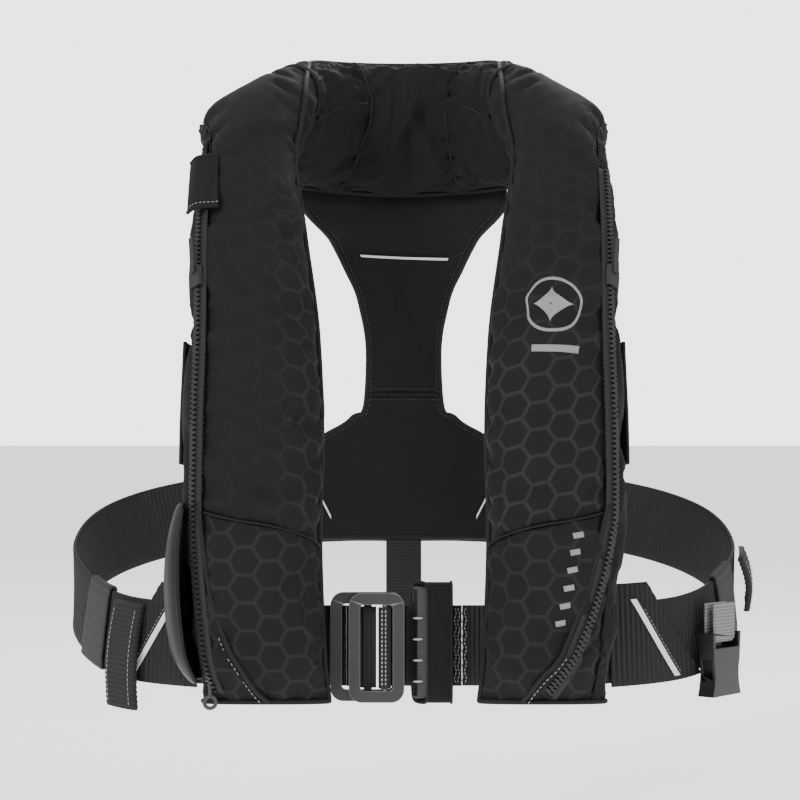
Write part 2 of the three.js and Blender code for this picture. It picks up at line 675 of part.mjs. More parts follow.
const clipTop = CLIP_BAR_RADIUS + 0.4;
const clipOutline = new THREE.Shape();
clipOutline.moveTo(-CLIP_WIDTH / 2, clipTop);
clipOutline.lineTo(-CLIP_WIDTH / 2 + 1.5, clipTop - 18);
clipOutline.quadraticCurveTo(-CLIP_WIDTH / 2 + 4.5, clipTop - 27, -CLIP_WIDTH / 2, clipTop - CLIP_HEIGHT);
clipOutline.lineTo(CLIP_WIDTH / 2, clipTop - CLIP_HEIGHT);
clipOutline.quadraticCurveTo(CLIP_WIDTH / 2 - 4.5, clipTop - 27, CLIP_WIDTH / 2 - 1.5, clipTop - 18);
clipOutline.lineTo(CLIP_WIDTH / 2, clipTop);
const clipBody = new THREE.ExtrudeGeometry(clipOutline, {
  depth: CLIP_THICKNESS, bevelEnabled: false, curveSegments: 5,
});
clipBody.rotateX(Math.PI / 2);
clipBody.translate(0, CLIP_THICKNESS / 2, 0);
const mouth = new THREE.BoxGeometry(CLIP_MOUTH_WIDTH, CLIP_MOUTH_HEIGHT, CLIP_MOUTH_DEPTH);
mouth.translate(0, 0, clipTop - CLIP_HEIGHT + CLIP_MOUTH_DEPTH / 2 - 1);
const sideWindow = new THREE.BoxGeometry(CLIP_WIDTH + 4, CLIP_MOUTH_HEIGHT, 14);
sideWindow.translate(0, 0, clipTop - CLIP_HEIGHT + 17);
const topSlot = new THREE.BoxGeometry(CLIP_WEBBING + 2, CLIP_THICKNESS + 4, 13);
topSlot.translate(0, 0, -0.6);
const clipBar = new THREE.CylinderGeometry(CLIP_BAR_RADIUS, CLIP_BAR_RADIUS, CLIP_WIDTH - 2, 12);
clipBar.rotateZ(Math.PI / 2);
const clipShell = cut(clipBody, mouth, sideWindow, topSlot);
add('side_release_socket', placeClip(joined(clipShell, clipBar)), glossPlastic);

// The folded webbing that holds the clip: down from the belt, round the clip's bar and up again.
const clipLoopInner = CLIP_BAR_RADIUS + GAP;
const clipLoopMiddle = clipLoopInner + WEBBING_THICKNESS / 2;
const clipLoopTop = 21;
const clipLoopCurve = new THREE.CatmullRomCurve3([
  new THREE.Vector3(0, clipLoopMiddle, clipLoopTop),
  new THREE.Vector3(0, clipLoopMiddle, 10),
  ...[0, 45, 90, 135, 180].map((degrees) => {
    const angle = THREE.MathUtils.degToRad(degrees);
    return new THREE.Vector3(0, clipLoopMiddle * Math.cos(angle), -clipLoopMiddle * Math.sin(angle));
  }),
  new THREE.Vector3(0, -clipLoopMiddle, 10),
  new THREE.Vector3(0, -clipLoopMiddle, clipLoopTop),
], false, 'centripetal');
add('side_release_webbing', placeClip(warped(20, 1, (u, v, w) => {
  const along = clipLoopCurve.getTangentAt(u);
  const out = new THREE.Vector3(0, along.z, -along.y);
  const point = clipLoopCurve.getPointAt(u).addScaledVector(out, (w - 0.5) * WEBBING_THICKNESS);
  return point.setX((v - 0.5) * (CLIP_WEBBING - 1));
})), greyWebbing);

// ---------------------------------------------------------------- crotch strap

add('crotch_strap', warped(8, 1, (u, v, w) => new THREE.Vector3(
  (v - 0.5) * CROTCH_WIDTH,
  BACK_PANEL_REACH + 1 - 10 * Math.sin(u * Math.PI / 2) + w * 2 * WEBBING_THICKNESS,
  BACK_PANEL_FOOT - 0.5 - u * CROTCH_LENGTH,
)), webbing);

// ---------------------------------------------------------------- reflective trim on the back

const TRIM_LIFT = 1.1;
function backTrim(name, from, to, height) {
  add(name, warped(6, 1, (u, v, w) => {
    const down = mix(from.down, to.down, u) + (v - 0.5) * height;
    return onBackPanel(down, mix(from.across, to.across, u), -TRIM_LIFT - w * 0.7);
  }), reflective);
}
backTrim('back_reflective_line', { down: 0.165, across: -0.68 }, { down: 0.175, across: 0.72 }, 0.007);
backTrim('reflective_tag_right', { down: 0.88, across: -0.70 }, { down: 0.94, across: -0.62 }, 0.012);
backTrim('reflective_tag_left', { down: 0.88, across: 0.70 }, { down: 0.94, across: 0.62 }, 0.012);

// ---------------------------------------------------------------- inflator in the right lobe

// A frame inside a lobe: X across the jacket, Y towards the wearer, Z up along the lobe. What is long
// and straight points at the lobe's middle at a station further up, so that it stays inside the curve.
function placeInLobe(geometry, side, station, [x, y, z], towards = station) {
  const frame = rollFrame(onSide(side, station));
  const up = frame.along.clone().multiplyScalar(side === 'right' ? 1 : -1);
  if (towards !== station) {
    up.copy(rollFrame(onSide(side, towards)).centre).sub(frame.centre).normalize();
  }
  const back = up.clone().cross(ACROSS).normalize();
  const across = back.clone().cross(up).normalize();
  const basis = new THREE.Matrix4().makeBasis(across, back, up);
  basis.setPosition(frame.centre.addScaledVector(across, x).addScaledVector(back, y).addScaledVector(up, z));
  return geometry.applyMatrix4(basis);
}

function turned(profile, segments = 18) {
  const geometry = new THREE.LatheGeometry(profile.map(([r, z]) => new THREE.Vector2(r, z)), segments);
  return geometry.rotateX(Math.PI / 2);
}

const INFLATOR_STATION = 1.62;
const CYLINDER_STATION = 3.4;    // the gas cylinder points here
const inflatorTop = INFLATOR_HEIGHT / 2;
const cylinderNeck = 7;
const inflatorBody = new THREE.ExtrudeGeometry(roundedOutline(INFLATOR_WIDTH, INFLATOR_HEIGHT, 6), {
  depth: INFLATOR_DEPTH, bevelEnabled: false, curveSegments: 4,
});
inflatorBody.rotateX(Math.PI / 2);
inflatorBody.translate(0, INFLATOR_DEPTH / 2, 0);
const cylinderSocket = turned([[0, inflatorTop - 8], [cylinderNeck + GAP, inflatorTop - 8],
  [cylinderNeck + GAP, inflatorTop + 2], [0, inflatorTop + 2]]);
const capSocket = new THREE.CylinderGeometry(8 + GAP, 8 + GAP, 8, 20);
capSocket.rotateX(Math.PI / 2);
capSocket.translate(0, 0, -inflatorTop + 3);
const leverPlane = -INFLATOR_DEPTH / 2;
const LEVER_PIVOT = [-5, -6];
const pinHole = new THREE.CylinderGeometry(LEVER_PIN_RADIUS + GAP, LEVER_PIN_RADIUS + GAP, 12, 14);
pinHole.translate(LEVER_PIVOT[0], leverPlane + 2, LEVER_PIVOT[1]);
const INFLATOR_PLACE = [0.5, 1, 0];
const placeInflator = (geometry) => placeInLobe(
  geometry,
  'right',
  INFLATOR_STATION,
  INFLATOR_PLACE,
  CYLINDER_STATION,
);
add('inflator_body', placeInflator(cut(inflatorBody, cylinderSocket, capSocket, pinHole)), glossPlastic);

const r = CYLINDER_RADIUS;
const shoulder = inflatorTop + 3;
add('gas_cylinder', placeInflator(turned([
  [0, inflatorTop - 7.5], [cylinderNeck, inflatorTop - 7.5], [cylinderNeck, shoulder],
  [r * 0.8, shoulder + 3], [r, shoulder + 10], [r, shoulder + CYLINDER_LENGTH - 22],
  [r * 0.8, shoulder + CYLINDER_LENGTH - 13], [r * 0.4, shoulder + CYLINDER_LENGTH - 8.5],
  [0, shoulder + CYLINDER_LENGTH - 8],
], 20)), steel);

add('sensing_cap', placeInflator(turned([
  [0, -inflatorTop - 6], [9, -inflatorTop - 6], [9, -inflatorTop - GAP - 1], [8, -inflatorTop - GAP - 1],
  [8, -inflatorTop + 6.5], [0, -inflatorTop + 6.5],
])), glossPlastic);

const LEVER_THICKNESS = 3;
const leverOutline = new THREE.Shape();
leverOutline.moveTo(4, 4);
leverOutline.absarc(0, 0, 5, Math.PI / 4, -Math.PI / 2, true);
leverOutline.lineTo(-LEVER_LENGTH, -3);
leverOutline.lineTo(-LEVER_LENGTH, 3);
const lever = new THREE.ExtrudeGeometry(leverOutline, {
  depth: LEVER_THICKNESS, bevelEnabled: false, curveSegments: 8,
});
const leverBore = new THREE.CylinderGeometry(LEVER_PIN_RADIUS + GAP, LEVER_PIN_RADIUS + GAP, 12, 14);
leverBore.rotateX(Math.PI / 2);
const leverPlate = cut(lever, leverBore);
leverPlate.rotateX(Math.PI / 2);
leverPlate.translate(LEVER_PIVOT[0], leverPlane - GAP, LEVER_PIVOT[1]);
add('firing_lever', placeInflator(leverPlate), signalRed);

const leverPin = new THREE.CylinderGeometry(LEVER_PIN_RADIUS, LEVER_PIN_RADIUS, 10, 14);
leverPin.translate(LEVER_PIVOT[0], leverPlane + 1.5, LEVER_PIVOT[1]);
add('lever_pin', placeInflator(leverPin), steel);

// The pull cord: its knot hangs from the lever's tip, it runs down through the open end of the zip,
// and it ends outside in a loop. The lever's tip and the cord share one upright line.
const leverTip = new THREE.Vector3(
  LEVER_PIVOT[0] - LEVER_LENGTH + 2,
  leverPlane - GAP - LEVER_THICKNESS / 2,
  LEVER_PIVOT[1] - 3,
);
const tipMarker = new THREE.BufferGeometry().setFromPoints([leverTip]);
placeInflator(tipMarker);
const cordTop = new THREE.Vector3().fromBufferAttribute(tipMarker.getAttribute('position'), 0);
const CORD_SLACK = 1.5;          // from the lever's tip to the cord's knot
const CORD_LOOP_HEIGHT = -348;
const CORD_LOOP_RADIUS = 3.5;
const cordLength = cordTop.z - CORD_SLACK - (CORD_LOOP_HEIGHT + CORD_LOOP_RADIUS);
const cordRun = new THREE.CylinderGeometry(PULL_CORD_RADIUS, PULL_CORD_RADIUS, cordLength, 8);
cordRun.rotateX(Math.PI / 2);
cordRun.translate(cordTop.x, cordTop.y, cordTop.z - CORD_SLACK - cordLength / 2);
const cordLoop = new THREE.TorusGeometry(CORD_LOOP_RADIUS, PULL_CORD_RADIUS, 8, 16);
cordLoop.rotateX(Math.PI / 2);
cordLoop.translate(cordTop.x, cordTop.y, CORD_LOOP_HEIGHT);
add('pull_cord', joined(cordRun, cordLoop), lining);

// The hard guard over the inflator, on the outer side of the right lobe.
const GUARD_FOOT = 0.42;
const GUARD_TOP = 2.34;
const GUARD_BULGE = 12;
const GUARD_CLEARANCE = 2.4;
const GUARD_WALL = 2.2;
add('inflator_guard', warped(14, 8, (u, v, w) => {
  const bulge = GUARD_BULGE * Math.sin(u * Math.PI) ** 0.7 * (0.55 + 0.45 * Math.sin(v * Math.PI));
  return onRoll(mix(GUARD_FOOT, GUARD_TOP, u), mix(-64, 27, v), -GUARD_CLEARANCE - bulge - w * GUARD_WALL);
}), glossPlastic);

// ---------------------------------------------------------------- left lobe: oral tube, whistle, light

const ORAL_STATION = 1.5;
const ORAL_PLACE = [14, 0, -22];
const tubeBore = ORAL_TUBE_RADIUS - ORAL_TUBE_WALL;
const placeOral = (geometry) => placeInLobe(geometry, 'left', ORAL_STATION, ORAL_PLACE);
add('oral_tube', placeOral(turned([
  [tubeBore, 0], [ORAL_TUBE_RADIUS, 0], [ORAL_TUBE_RADIUS, ORAL_TUBE_LENGTH],
  [tubeBore, ORAL_TUBE_LENGTH], [tubeBore, 0],
], 20)), bladderCloth);
const VALVE_LENGTH = 14;
add('oral_valve', placeOral(turned([
  [0, ORAL_TUBE_LENGTH - VALVE_LENGTH], [tubeBore - GAP, ORAL_TUBE_LENGTH - VALVE_LENGTH],
  [tubeBore - GAP, ORAL_TUBE_LENGTH - 1], [0, ORAL_TUBE_LENGTH - 1],
])), signalRed);
const CAP_WALL = 1.5;
const CAP_OVERLAP = 10;
const capInner = ORAL_TUBE_RADIUS + GAP;
const capRoof = ORAL_TUBE_LENGTH + GAP;
add('oral_cap', placeOral(turned([
  [capInner, ORAL_TUBE_LENGTH - CAP_OVERLAP], [capInner + CAP_WALL, ORAL_TUBE_LENGTH - CAP_OVERLAP],
  [capInner + CAP_WALL, capRoof + CAP_WALL], [0, capRoof + CAP_WALL], [0, capRoof], [capInner, capRoof],
  [capInner, ORAL_TUBE_LENGTH - CAP_OVERLAP],
], 20)), glossPlastic);

const WHISTLE_LENGTH = 44;
const WHISTLE_WIDTH = 18;
const WHISTLE_DEPTH = 9;
const whistleBody = new THREE.ExtrudeGeometry(roundedOutline(WHISTLE_WIDTH, WHISTLE_LENGTH, 4), {
  depth: WHISTLE_DEPTH, bevelEnabled: false, curveSegments: 4,
});
whistleBody.rotateX(Math.PI / 2);
whistleBody.translate(0, WHISTLE_DEPTH / 2, 0);
const whistleWindow = new THREE.BoxGeometry(WHISTLE_WIDTH - 6, WHISTLE_DEPTH, 4);
whistleWindow.translate(0, -WHISTLE_DEPTH / 2, 8);
const whistleWindway = new THREE.BoxGeometry(WHISTLE_WIDTH - 6, 3, WHISTLE_LENGTH / 2 + 2);
whistleWindway.translate(0, 0, WHISTLE_LENGTH / 4 + 5);
add('whistle', placeInLobe(cut(whistleBody, whistleWindow, whistleWindway), 'left', 1.5, [-14, 0, 0]), signalRed);

const LIGHT_WIDTH = 22;
const LIGHT_HEIGHT = 30;
const LIGHT_DEPTH = 16;
const lightBody = new THREE.ExtrudeGeometry(roundedOutline(LIGHT_WIDTH, LIGHT_HEIGHT, 4), {
  depth: LIGHT_DEPTH, bevelEnabled: false, curveSegments: 4,
});
lightBody.rotateX(Math.PI / 2);
lightBody.translate(0, LIGHT_DEPTH / 2, 0);
const LENS_RADIUS = 9;
const placeLight = (geometry) => placeInLobe(geometry, 'left', 2.35, [-14, 0, 0]);
add('light_body', placeLight(lightBody), glossPlastic);
const lensFoot = LIGHT_HEIGHT / 2 + GAP;
add('light_lens', placeLight(turned([
  [0, lensFoot], [LENS_RADIUS - 1.5, lensFoot], [LENS_RADIUS - 1.5, lensFoot + 5],
  [LENS_RADIUS - 3.5, lensFoot + 10], [0, lensFoot + 12],
])), clearPlastic);

// ---------------------------------------------------------------- zip sliders, garage, tabs and gussets

// A small block on the skin of a lobe, its height along the lobe, standing out from the surface.
function onSkin(geometry, side, station, turn, lift) {
  const place = onRoll(onSide(side, station), turn, -lift);
  const below = onRoll(onSide(side, station), turn, 0);
  const out = place.clone().sub(below).normalize();
  const up = rollFrame(onSide(side, station)).along.clone().multiplyScalar(side === 'right' ? 1 : -1);
  const across = up.clone().cross(out).normalize();
  return geometry.applyMatrix4(new THREE.Matrix4().makeBasis(across, out, across.clone().cross(out)).setPosition(place));
}

const SLIDER_WIDTH = 9;
const SLIDER_LENGTH = 13;
const SLIDER_THICKNESS = 3.4;
const SLIDER_LIFT = 1.4;         // slider's underside above the zip
const SLIDER_STATION = 4.5;
const zipMiddle = (ZIP_FROM + ZIP_TO) / 2;
for (const side of ['right', 'left']) {
  const body = new THREE.BoxGeometry(SLIDER_WIDTH, SLIDER_THICKNESS, SLIDER_LENGTH);
  const puller = new THREE.BoxGeometry(4, 1.4, 24);
  puller.translate(0, SLIDER_THICKNESS / 2 + 0.6, -14);
  const lift = SLIDER_LIFT + SLIDER_THICKNESS / 2;
  add(`zip_slider_${side}`, onSkin(joined(body, puller), side, SLIDER_STATION, zipMiddle, lift), glossPlastic);
}
add('zip_garage_right', rollShell(at(5.12), at(5.72), ZIP_FROM - 4, ZIP_TO + 14, {
  wall: 1, depth: -7.2, steps: 3, sides: 3,
}), cloth);

const TAB_LIFT = 3.4;
const GUSSET_OUT = 3.2;          // out from the belt's inner face
for (const side of ['right', 'left']) {
  const s = (station) => at(onSide(side, station));
  add(`side_tab_${side}`, rollShell(s(2.74), s(3.98), -72, -8, {
    wall: 2, depth: -TAB_LIFT - 2, steps: 5, sides: 4,
  }), webbing);
  add(`gusset_${side}`, warped(8, 4, (u, v, w) => {
    const spread = mix(0.175, mix(0.225, 0.30, u), v);
    return sideOf(side, onBelt(spread, mix(37, -27, u), GUSSET_OUT + w * 1.4));
  }), webbing);
}

export default group;
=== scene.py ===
# %% [markdown]
# # A packed inflatable life jacket
# This lesson dresses a finished CAD model of a life jacket in cloth, webbing, alloy and plastic. The CAD
# model is loaded as a fixed frame. Every piece made here is built around it, rides on one of its bodies
# and stands for one or more of its nodes. Sizes are in millimetres times MM, because Blender counts metres.

# %% The frame
import math
import random

import bmesh
import bpy
import numpy as np
from mathutils import Matrix, Vector


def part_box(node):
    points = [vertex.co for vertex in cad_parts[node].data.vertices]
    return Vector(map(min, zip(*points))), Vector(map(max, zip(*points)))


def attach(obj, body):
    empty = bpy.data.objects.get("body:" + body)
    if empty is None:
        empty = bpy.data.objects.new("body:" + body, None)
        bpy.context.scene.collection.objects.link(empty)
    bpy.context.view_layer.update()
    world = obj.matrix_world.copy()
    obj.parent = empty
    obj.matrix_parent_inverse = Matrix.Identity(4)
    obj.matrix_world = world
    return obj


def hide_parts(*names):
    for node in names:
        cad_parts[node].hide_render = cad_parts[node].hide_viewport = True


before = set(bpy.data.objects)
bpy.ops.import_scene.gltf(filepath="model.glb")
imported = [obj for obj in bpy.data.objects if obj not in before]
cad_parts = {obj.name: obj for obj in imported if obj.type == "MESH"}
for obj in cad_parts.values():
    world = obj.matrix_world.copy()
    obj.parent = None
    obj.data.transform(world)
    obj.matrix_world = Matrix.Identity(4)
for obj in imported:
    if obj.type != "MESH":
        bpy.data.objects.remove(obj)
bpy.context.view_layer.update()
MM = 0.001
ROOT = "jacket"

# %% [markdown]
# ## Camera, floor and light
# The jacket is shown as a shop shows it: straight from the front, level, with a long lens, so that
# the two lobes stand side by side without leaning. The light is one large soft source high on the left, a
# weaker one on the right, and a pale room all round, which keeps black cloth from turning into a hole.

# %% Camera, floor and light
CAMERA_DISTANCE = 1550 * MM
CAMERA_HEIGHT = -166 * MM
FOCAL_LENGTH = 105.2
FLOOR_HEIGHT = -470 * MM
FLOOR_HALF_SIDE = 14
PAPER_GLOW = 0.7  # keeps the floor white where the lamps fall off
ROOM_LIGHT = 1.0
ROOM_EXTRA = 2.2  # added to the room only where the camera sees it
LAMPS = (  # name, place, what it points at, size and power
    ("key", (-1.3, -1.5, 1.1), (0, 0, -0.15), 0.8, 42),
    ("fill", (1.5, -1.2, 0.5), (0, 0, -0.2), 1.0, 16),
    ("rim", (0.3, 1.3, 1.2), (0, 0, -0.1), 0.8, 20),
)


def make_camera():
    camera = bpy.data.objects.new("camera", bpy.data.cameras.new("camera"))
    bpy.context.collection.objects.link(camera)
    camera.data.lens = FOCAL_LENGTH
    camera.data.sensor_width = 36
    camera.location = (-2.6 * MM, -CAMERA_DISTANCE, CAMERA_HEIGHT)
    camera.rotation_euler = (math.pi / 2, 0, 0)
    bpy.context.scene.camera = camera


def make_area_light(name, place, target, size, power):
    light = bpy.data.lights.new(name, "AREA")
    light.size = size
    light.energy = power
    lamp = bpy.data.objects.new(name, light)
    bpy.context.collection.objects.link(lamp)
    lamp.location = place
    lamp.rotation_euler = (Vector(target) - Vector(place)).to_track_quat("-Z", "Y").to_euler()


def make_floor():
    corners = ((-1, -1), (1, -1), (1, 1), (-1, 1))
    verts = [(x * FLOOR_HALF_SIDE, y * FLOOR_HALF_SIDE, FLOOR_HEIGHT) for x, y in corners]
    mesh = bpy.data.meshes.new("floor")
    mesh.from_pydata(verts, [], [(0, 1, 2, 3)])
    floor = bpy.data.objects.new("floor", mesh)
    bpy.context.collection.objects.link(floor)
    paper = bpy.data.materials.new("paper")
    paper.use_nodes = True
    shader = paper.node_tree.nodes["Principled BSDF"]
    shader.inputs["Base Color"].default_value = (0.9, 0.9, 0.9, 1)
    shader.inputs["Roughness"].default_value = 0.9
    shader.inputs["Emission Color"].default_value = (1, 1, 1, 1)
    shader.inputs["Emission Strength"].default_value = PAPER_GLOW
    mesh.materials.append(paper)


def make_room_light():
    world = bpy.data.worlds.new("room")
    bpy.context.scene.world = world
    world.use_nodes = True
    backdrop = world.node_tree.nodes["Background"]
    backdrop.inputs["Color"].default_value = (1, 1, 1, 1)
    nodes, links = world.node_tree.nodes, world.node_tree.links
    seen = nodes.new("ShaderNodeLightPath")
    bright = nodes.new("ShaderNodeMath")
    bright.operation = "MULTIPLY_ADD"
    bright.inputs[1].default_value = ROOM_EXTRA
    bright.inputs[2].default_value = ROOM_LIGHT
    links.new(seen.outputs["Is Camera Ray"], bright.inputs[0])
    links.new(bright.outputs[0], backdrop.inputs["Strength"])


make_camera()
make_room_light()
make_floor()
for lamp in LAMPS:
    make_area_light(*lamp)
print("camera at", tuple(round(x, 3) for x in bpy.context.scene.camera.location))

# %% [markdown]
# ## Shader maths as plain expressions
# A procedural cloth is mostly arithmetic on two numbers, the place along and across the piece. Wrapping
# a socket in a small class lets that arithmetic be written as it reads on paper: `1 - mask` adds a Math
# node and wires it up. One method makes every other kind of node.

# %% Shader helpers
class Value:
    """A number or colour that comes out of a shader socket."""

    def __init__(self, finish, socket):
        self.finish = finish
        self.socket = socket

    def math(self, operation, *others, clamp=False):
        settings = {"operation": operation, "use_clamp": clamp}
        return self.finish.node("ShaderNodeMath", settings, self, *others)

    def __add__(self, other): return self.math("ADD", other)
    def __radd__(self, other): return self.math("ADD", other)
    def __sub__(self, other): return self.math("SUBTRACT", other)
    def __mul__(self, other): return self.math("MULTIPLY", other)
    def __rmul__(self, other): return self.math("MULTIPLY", other)
    def __truediv__(self, other): return self.math("DIVIDE", other)
    def __mod__(self, other): return self.math("FLOORED_MODULO", other)
    def __lt__(self, other): return self.math("LESS_THAN", other)
    def __abs__(self): return self.math("ABSOLUTE")

    def __rsub__(self, other):
        return self.finish.node("ShaderNodeMath", {"operation": "SUBTRACT"}, other, self)

    def soft_step(self, low, high):
        """0 below low, 1 above high, and a smooth ramp between them; low may be the larger."""
        settings = {"interpolation_type": "SMOOTHSTEP"}
        return self.finish.node("ShaderNodeMapRange", settings, self, low, high, 0.0, 1.0)


class Finish:
    """A material whose nodes are added by expressions."""

    def __init__(self, name, rough=0.5, metal=0.0, **constants):
        self.material = bpy.data.materials.new(name)
        self.material.use_nodes = True
        self.tree = self.material.node_tree
        self.shader = self.tree.nodes["Principled BSDF"]
        self.shader.inputs["Roughness"].default_value = rough
        self.shader.inputs["Metallic"].default_value = metal
        for label, value in constants.items():
            self.shader.inputs[label.replace("_", " ")].default_value = value

    def node(self, kind, settings, *inputs, out=0):
        """Adds a node: its settings first, then its sockets in order. None leaves a socket alone."""
        node = self.tree.nodes.new(kind)
        for label, value in settings.items():
            setattr(node, label, value)
        open_sockets = [socket for socket in node.inputs if socket.enabled]
        for socket, value in zip(open_sockets, inputs):
            if isinstance(value, Value):
                self.tree.links.new(value.socket, socket)
            elif value is not None:
                socket.default_value = value
        outputs = [socket for socket in node.outputs if socket.enabled]
        return Value(self, outputs[out])

    def place(self):
        """The point on the piece, in metres."""
        return self.node("ShaderNodeTexCoord", {}, out=3)

    def split(self, vector):
        parts = self.node("ShaderNodeSeparateXYZ", {}, vector)
        node = parts.socket.node
        return [Value(self, socket) for socket in node.outputs]

    def along_across(self):
        """The cloth's own measure from its UV map: along and across, in millimetres."""
        u, v, _ = self.split(self.node("ShaderNodeUVMap", {"uv_map": "UVMap"}))
        return u * 1000.0, v * 1000.0

    def attribute(self, name):
        return self.node("ShaderNodeAttribute", {"attribute_name": name}, out=2)

    def noise(self, vector, scale, detail=2.0, rough=0.5):
        return self.node("ShaderNodeTexNoise", {}, vector, scale, detail, rough)

    def blend(self, factor, first, second):
        """A colour between two colours."""
        node = self.tree.nodes.new("ShaderNodeMix")
        node.data_type = "RGBA"
        for socket, value in zip((node.inputs[0], node.inputs[6], node.inputs[7]), (factor, first, second)):
            if isinstance(value, Value):
                self.tree.links.new(value.socket, socket)
            else:
                socket.default_value = (*value, 1) if isinstance(value, tuple) else value
        return Value(self, node.outputs[2])

    def feed(self, label, value):
        self.tree.links.new(value.socket, self.shader.inputs[label])
        return self

    def bump(self, height, depth, strength=1.0):
        """Lets a height between 0 and 1 stand depth millimetres proud in the light."""
        bump = self.tree.nodes.new("ShaderNodeBump")
        bump.inputs["Strength"].default_value = strength
        bump.inputs["Distance"].default_value = depth * MM
        self.tree.links.new(height.socket, bump.inputs["Height"])
        self.tree.links.new(bump.outputs["Normal"], self.shader.inputs["Normal"])
        return self


def hexagon_lines(along, across, pitch, line):
    """1 on the lines of a honeycomb whose cells are pitch high along the cloth, 0 inside its cells."""
    tall, wide = 1.0, math.sqrt(3)
    a, b = along / pitch, across / pitch
    near = []
    for shift in (0.0, 0.5):
        p = (a + shift) % tall - tall / 2
        q = (b + shift * wide) % wide - wide / 2
        near.append((abs(p), abs(q), p * p + q * q))
    first = near[0][2] < near[1][2]
    p = near[1][0] + first * (near[0][0] - near[1][0])
    q = near[1][1] + first * (near[0][1] - near[1][1])
    reach = p.math("MAXIMUM", p * 0.5 + q * (wide / 2))
    return reach.soft_step(0.5 - line / pitch, 0.5 - 0.55 * line / pitch)


print("shader helpers ready")

# %% [markdown]
# ## Finishes
# The jacket is nearly all black, so its materials differ by weave and sheen rather than by colour. The
# cover is a dense coated nylon with a tone-on-tone honeycomb print; the lining is a plainer, darker cloth;
# the webbing has a strong rib. Each finish below gives those three things: colour, roughness and relief.

# %% Cloth finishes
COVER = (0.0052, 0.0052, 0.0055)
PRINT = (0.0155, 0.0155, 0.0148)
LINING = (0.0042, 0.0042, 0.0047)
HEXAGON_PITCH = 16.6


def cover_cloth(name="cover_cloth", colour=COVER):
    cloth = Finish(name, Specular_IOR_Level=0.16, Sheen_Weight=0.012, Sheen_Roughness=0.5)
    along, across = cloth.along_across()
    place = cloth.place()
    weft = (along * (math.tau / 0.85)).math("SINE") * 0.5 + 0.5
    warp = (across * (math.tau / 0.6)).math("SINE") * 0.5 + 0.5
    weave = weft * 0.55 + warp * 0.45
    mottle = cloth.noise(place, 42.0, 4.0, 0.6)
    lines = hexagon_lines(along, across, HEXAGON_PITCH, 1.35) * cloth.attribute("print")
    worn = cloth.noise(place, 900.0, 1.0)
    tone = cloth.blend(mottle * 0.5 + weave * 0.22, colour, tuple(c * 1.5 for c in colour))
    cloth.feed("Base Color", cloth.blend(lines * (0.72 + worn * 0.3), tone, PRINT))
    cloth.feed("Roughness", 0.78 - lines * 0.2 + mottle * 0.1)
    cloth.bump(weave * 0.5 + mottle * 0.4 + lines * 0.25, 0.22, 0.55)
    return cloth.material


def plain_cloth(name, colour, rough=0.88, thread=0.7):
    cloth = Finish(name, Specular_IOR_Level=0.2, Sheen_Weight=0.008, Sheen_Roughness=0.5)
    place = cloth.place()
    x, y, z = cloth.split(place)
    waves = math.tau / (thread * MM)
    weave = (z * waves).math("SINE") * ((x + y) * waves).math("SINE")
    mottle = cloth.noise(place, 55.0, 3.0)
    lightest = tuple(c * 1.7 for c in colour)
    cloth.feed("Base Color", cloth.blend(mottle * 0.6 + weave * 0.15, colour, lightest))
    cloth.feed("Roughness", rough - mottle * 0.08)
    cloth.bump(weave * 0.3 + mottle * 0.6, 0.25, 0.5)
    return cloth.material


def ribbed_webbing(name, colour, rib=1.6, edge=25.0, relief=0.55, light=2.2, rough=0.62):
    """Webbing whose ribs cross it, with a denser selvedge along each edge. Its UV is in metres."""
    tape = Finish(name, Specular_IOR_Level=0.3, Sheen_Weight=0.01, Sheen_Roughness=0.5)
    along, across = tape.along_across()
    ribs = (along * (math.tau / rib)).math("SINE") * 0.5 + 0.5
    strand = (across * (math.tau / 1.1) + along * (math.tau / rib / 2)).math("SINE") * 0.5 + 0.5
    selvedge = abs(across).soft_step(edge - 2.6, edge - 1.8)
    height = ribs * 0.75 * (1 - selvedge * 0.6) + strand * 0.25
    fuzz = tape.noise(tape.place(), 1400.0, 2.0)
    tape.feed("Base Color", tape.blend(height * 0.75 + fuzz * 0.2, colour, tuple(c * light for c in colour)))
    tape.feed("Roughness", rough + fuzz * 0.2)
    tape.bump(height, relief, 0.8)
    return tape.material


def woven_elastic(name, colour):
    band = Finish(name, rough=0.85, Specular_IOR_Level=0.3, Sheen_Weight=0.02)
    along, across = band.along_across()
    place = band.place()
    cords = (across * (math.tau / 1.7)).math("SINE") * 0.5 + 0.5
    picks = (along * (math.tau / 0.9)).math("SINE") * 0.5 + 0.5
    grain = band.noise(place, 700.0, 3.0)
    height = cords * 0.35 + picks * 0.3 + grain * 0.35
    band.feed("Base Color", band.blend(height, colour, tuple(c * 1.6 for c in colour)))
    band.bump(height, 0.3, 0.7)
    return band.material


def reflective_tape(name):
    tape = Finish(name, metal=0.15)
    place = tape.place()
    beads = tape.node("ShaderNodeTexVoronoi", {}, place, 1500.0)
    dust = tape.noise(place, 120.0, 3.0)
    tape.feed("Base Color", tape.blend(beads * 0.7 + dust * 0.3, (0.46, 0.46, 0.45), (0.78, 0.78, 0.76)))
    tape.feed("Roughness", 0.38 + dust * 0.25)
    tape.bump(beads, 0.08, 0.5)
    return tape.material


def thread(name, colour):
    strand = Finish(name, rough=0.7)
    twist = strand.noise(strand.place(), 2200.0, 2.0)
    strand.feed("Base Color", strand.blend(twist, tuple(c * 0.7 for c in colour), colour))
    strand.bump(twist, 0.1, 0.5)
    return strand.material


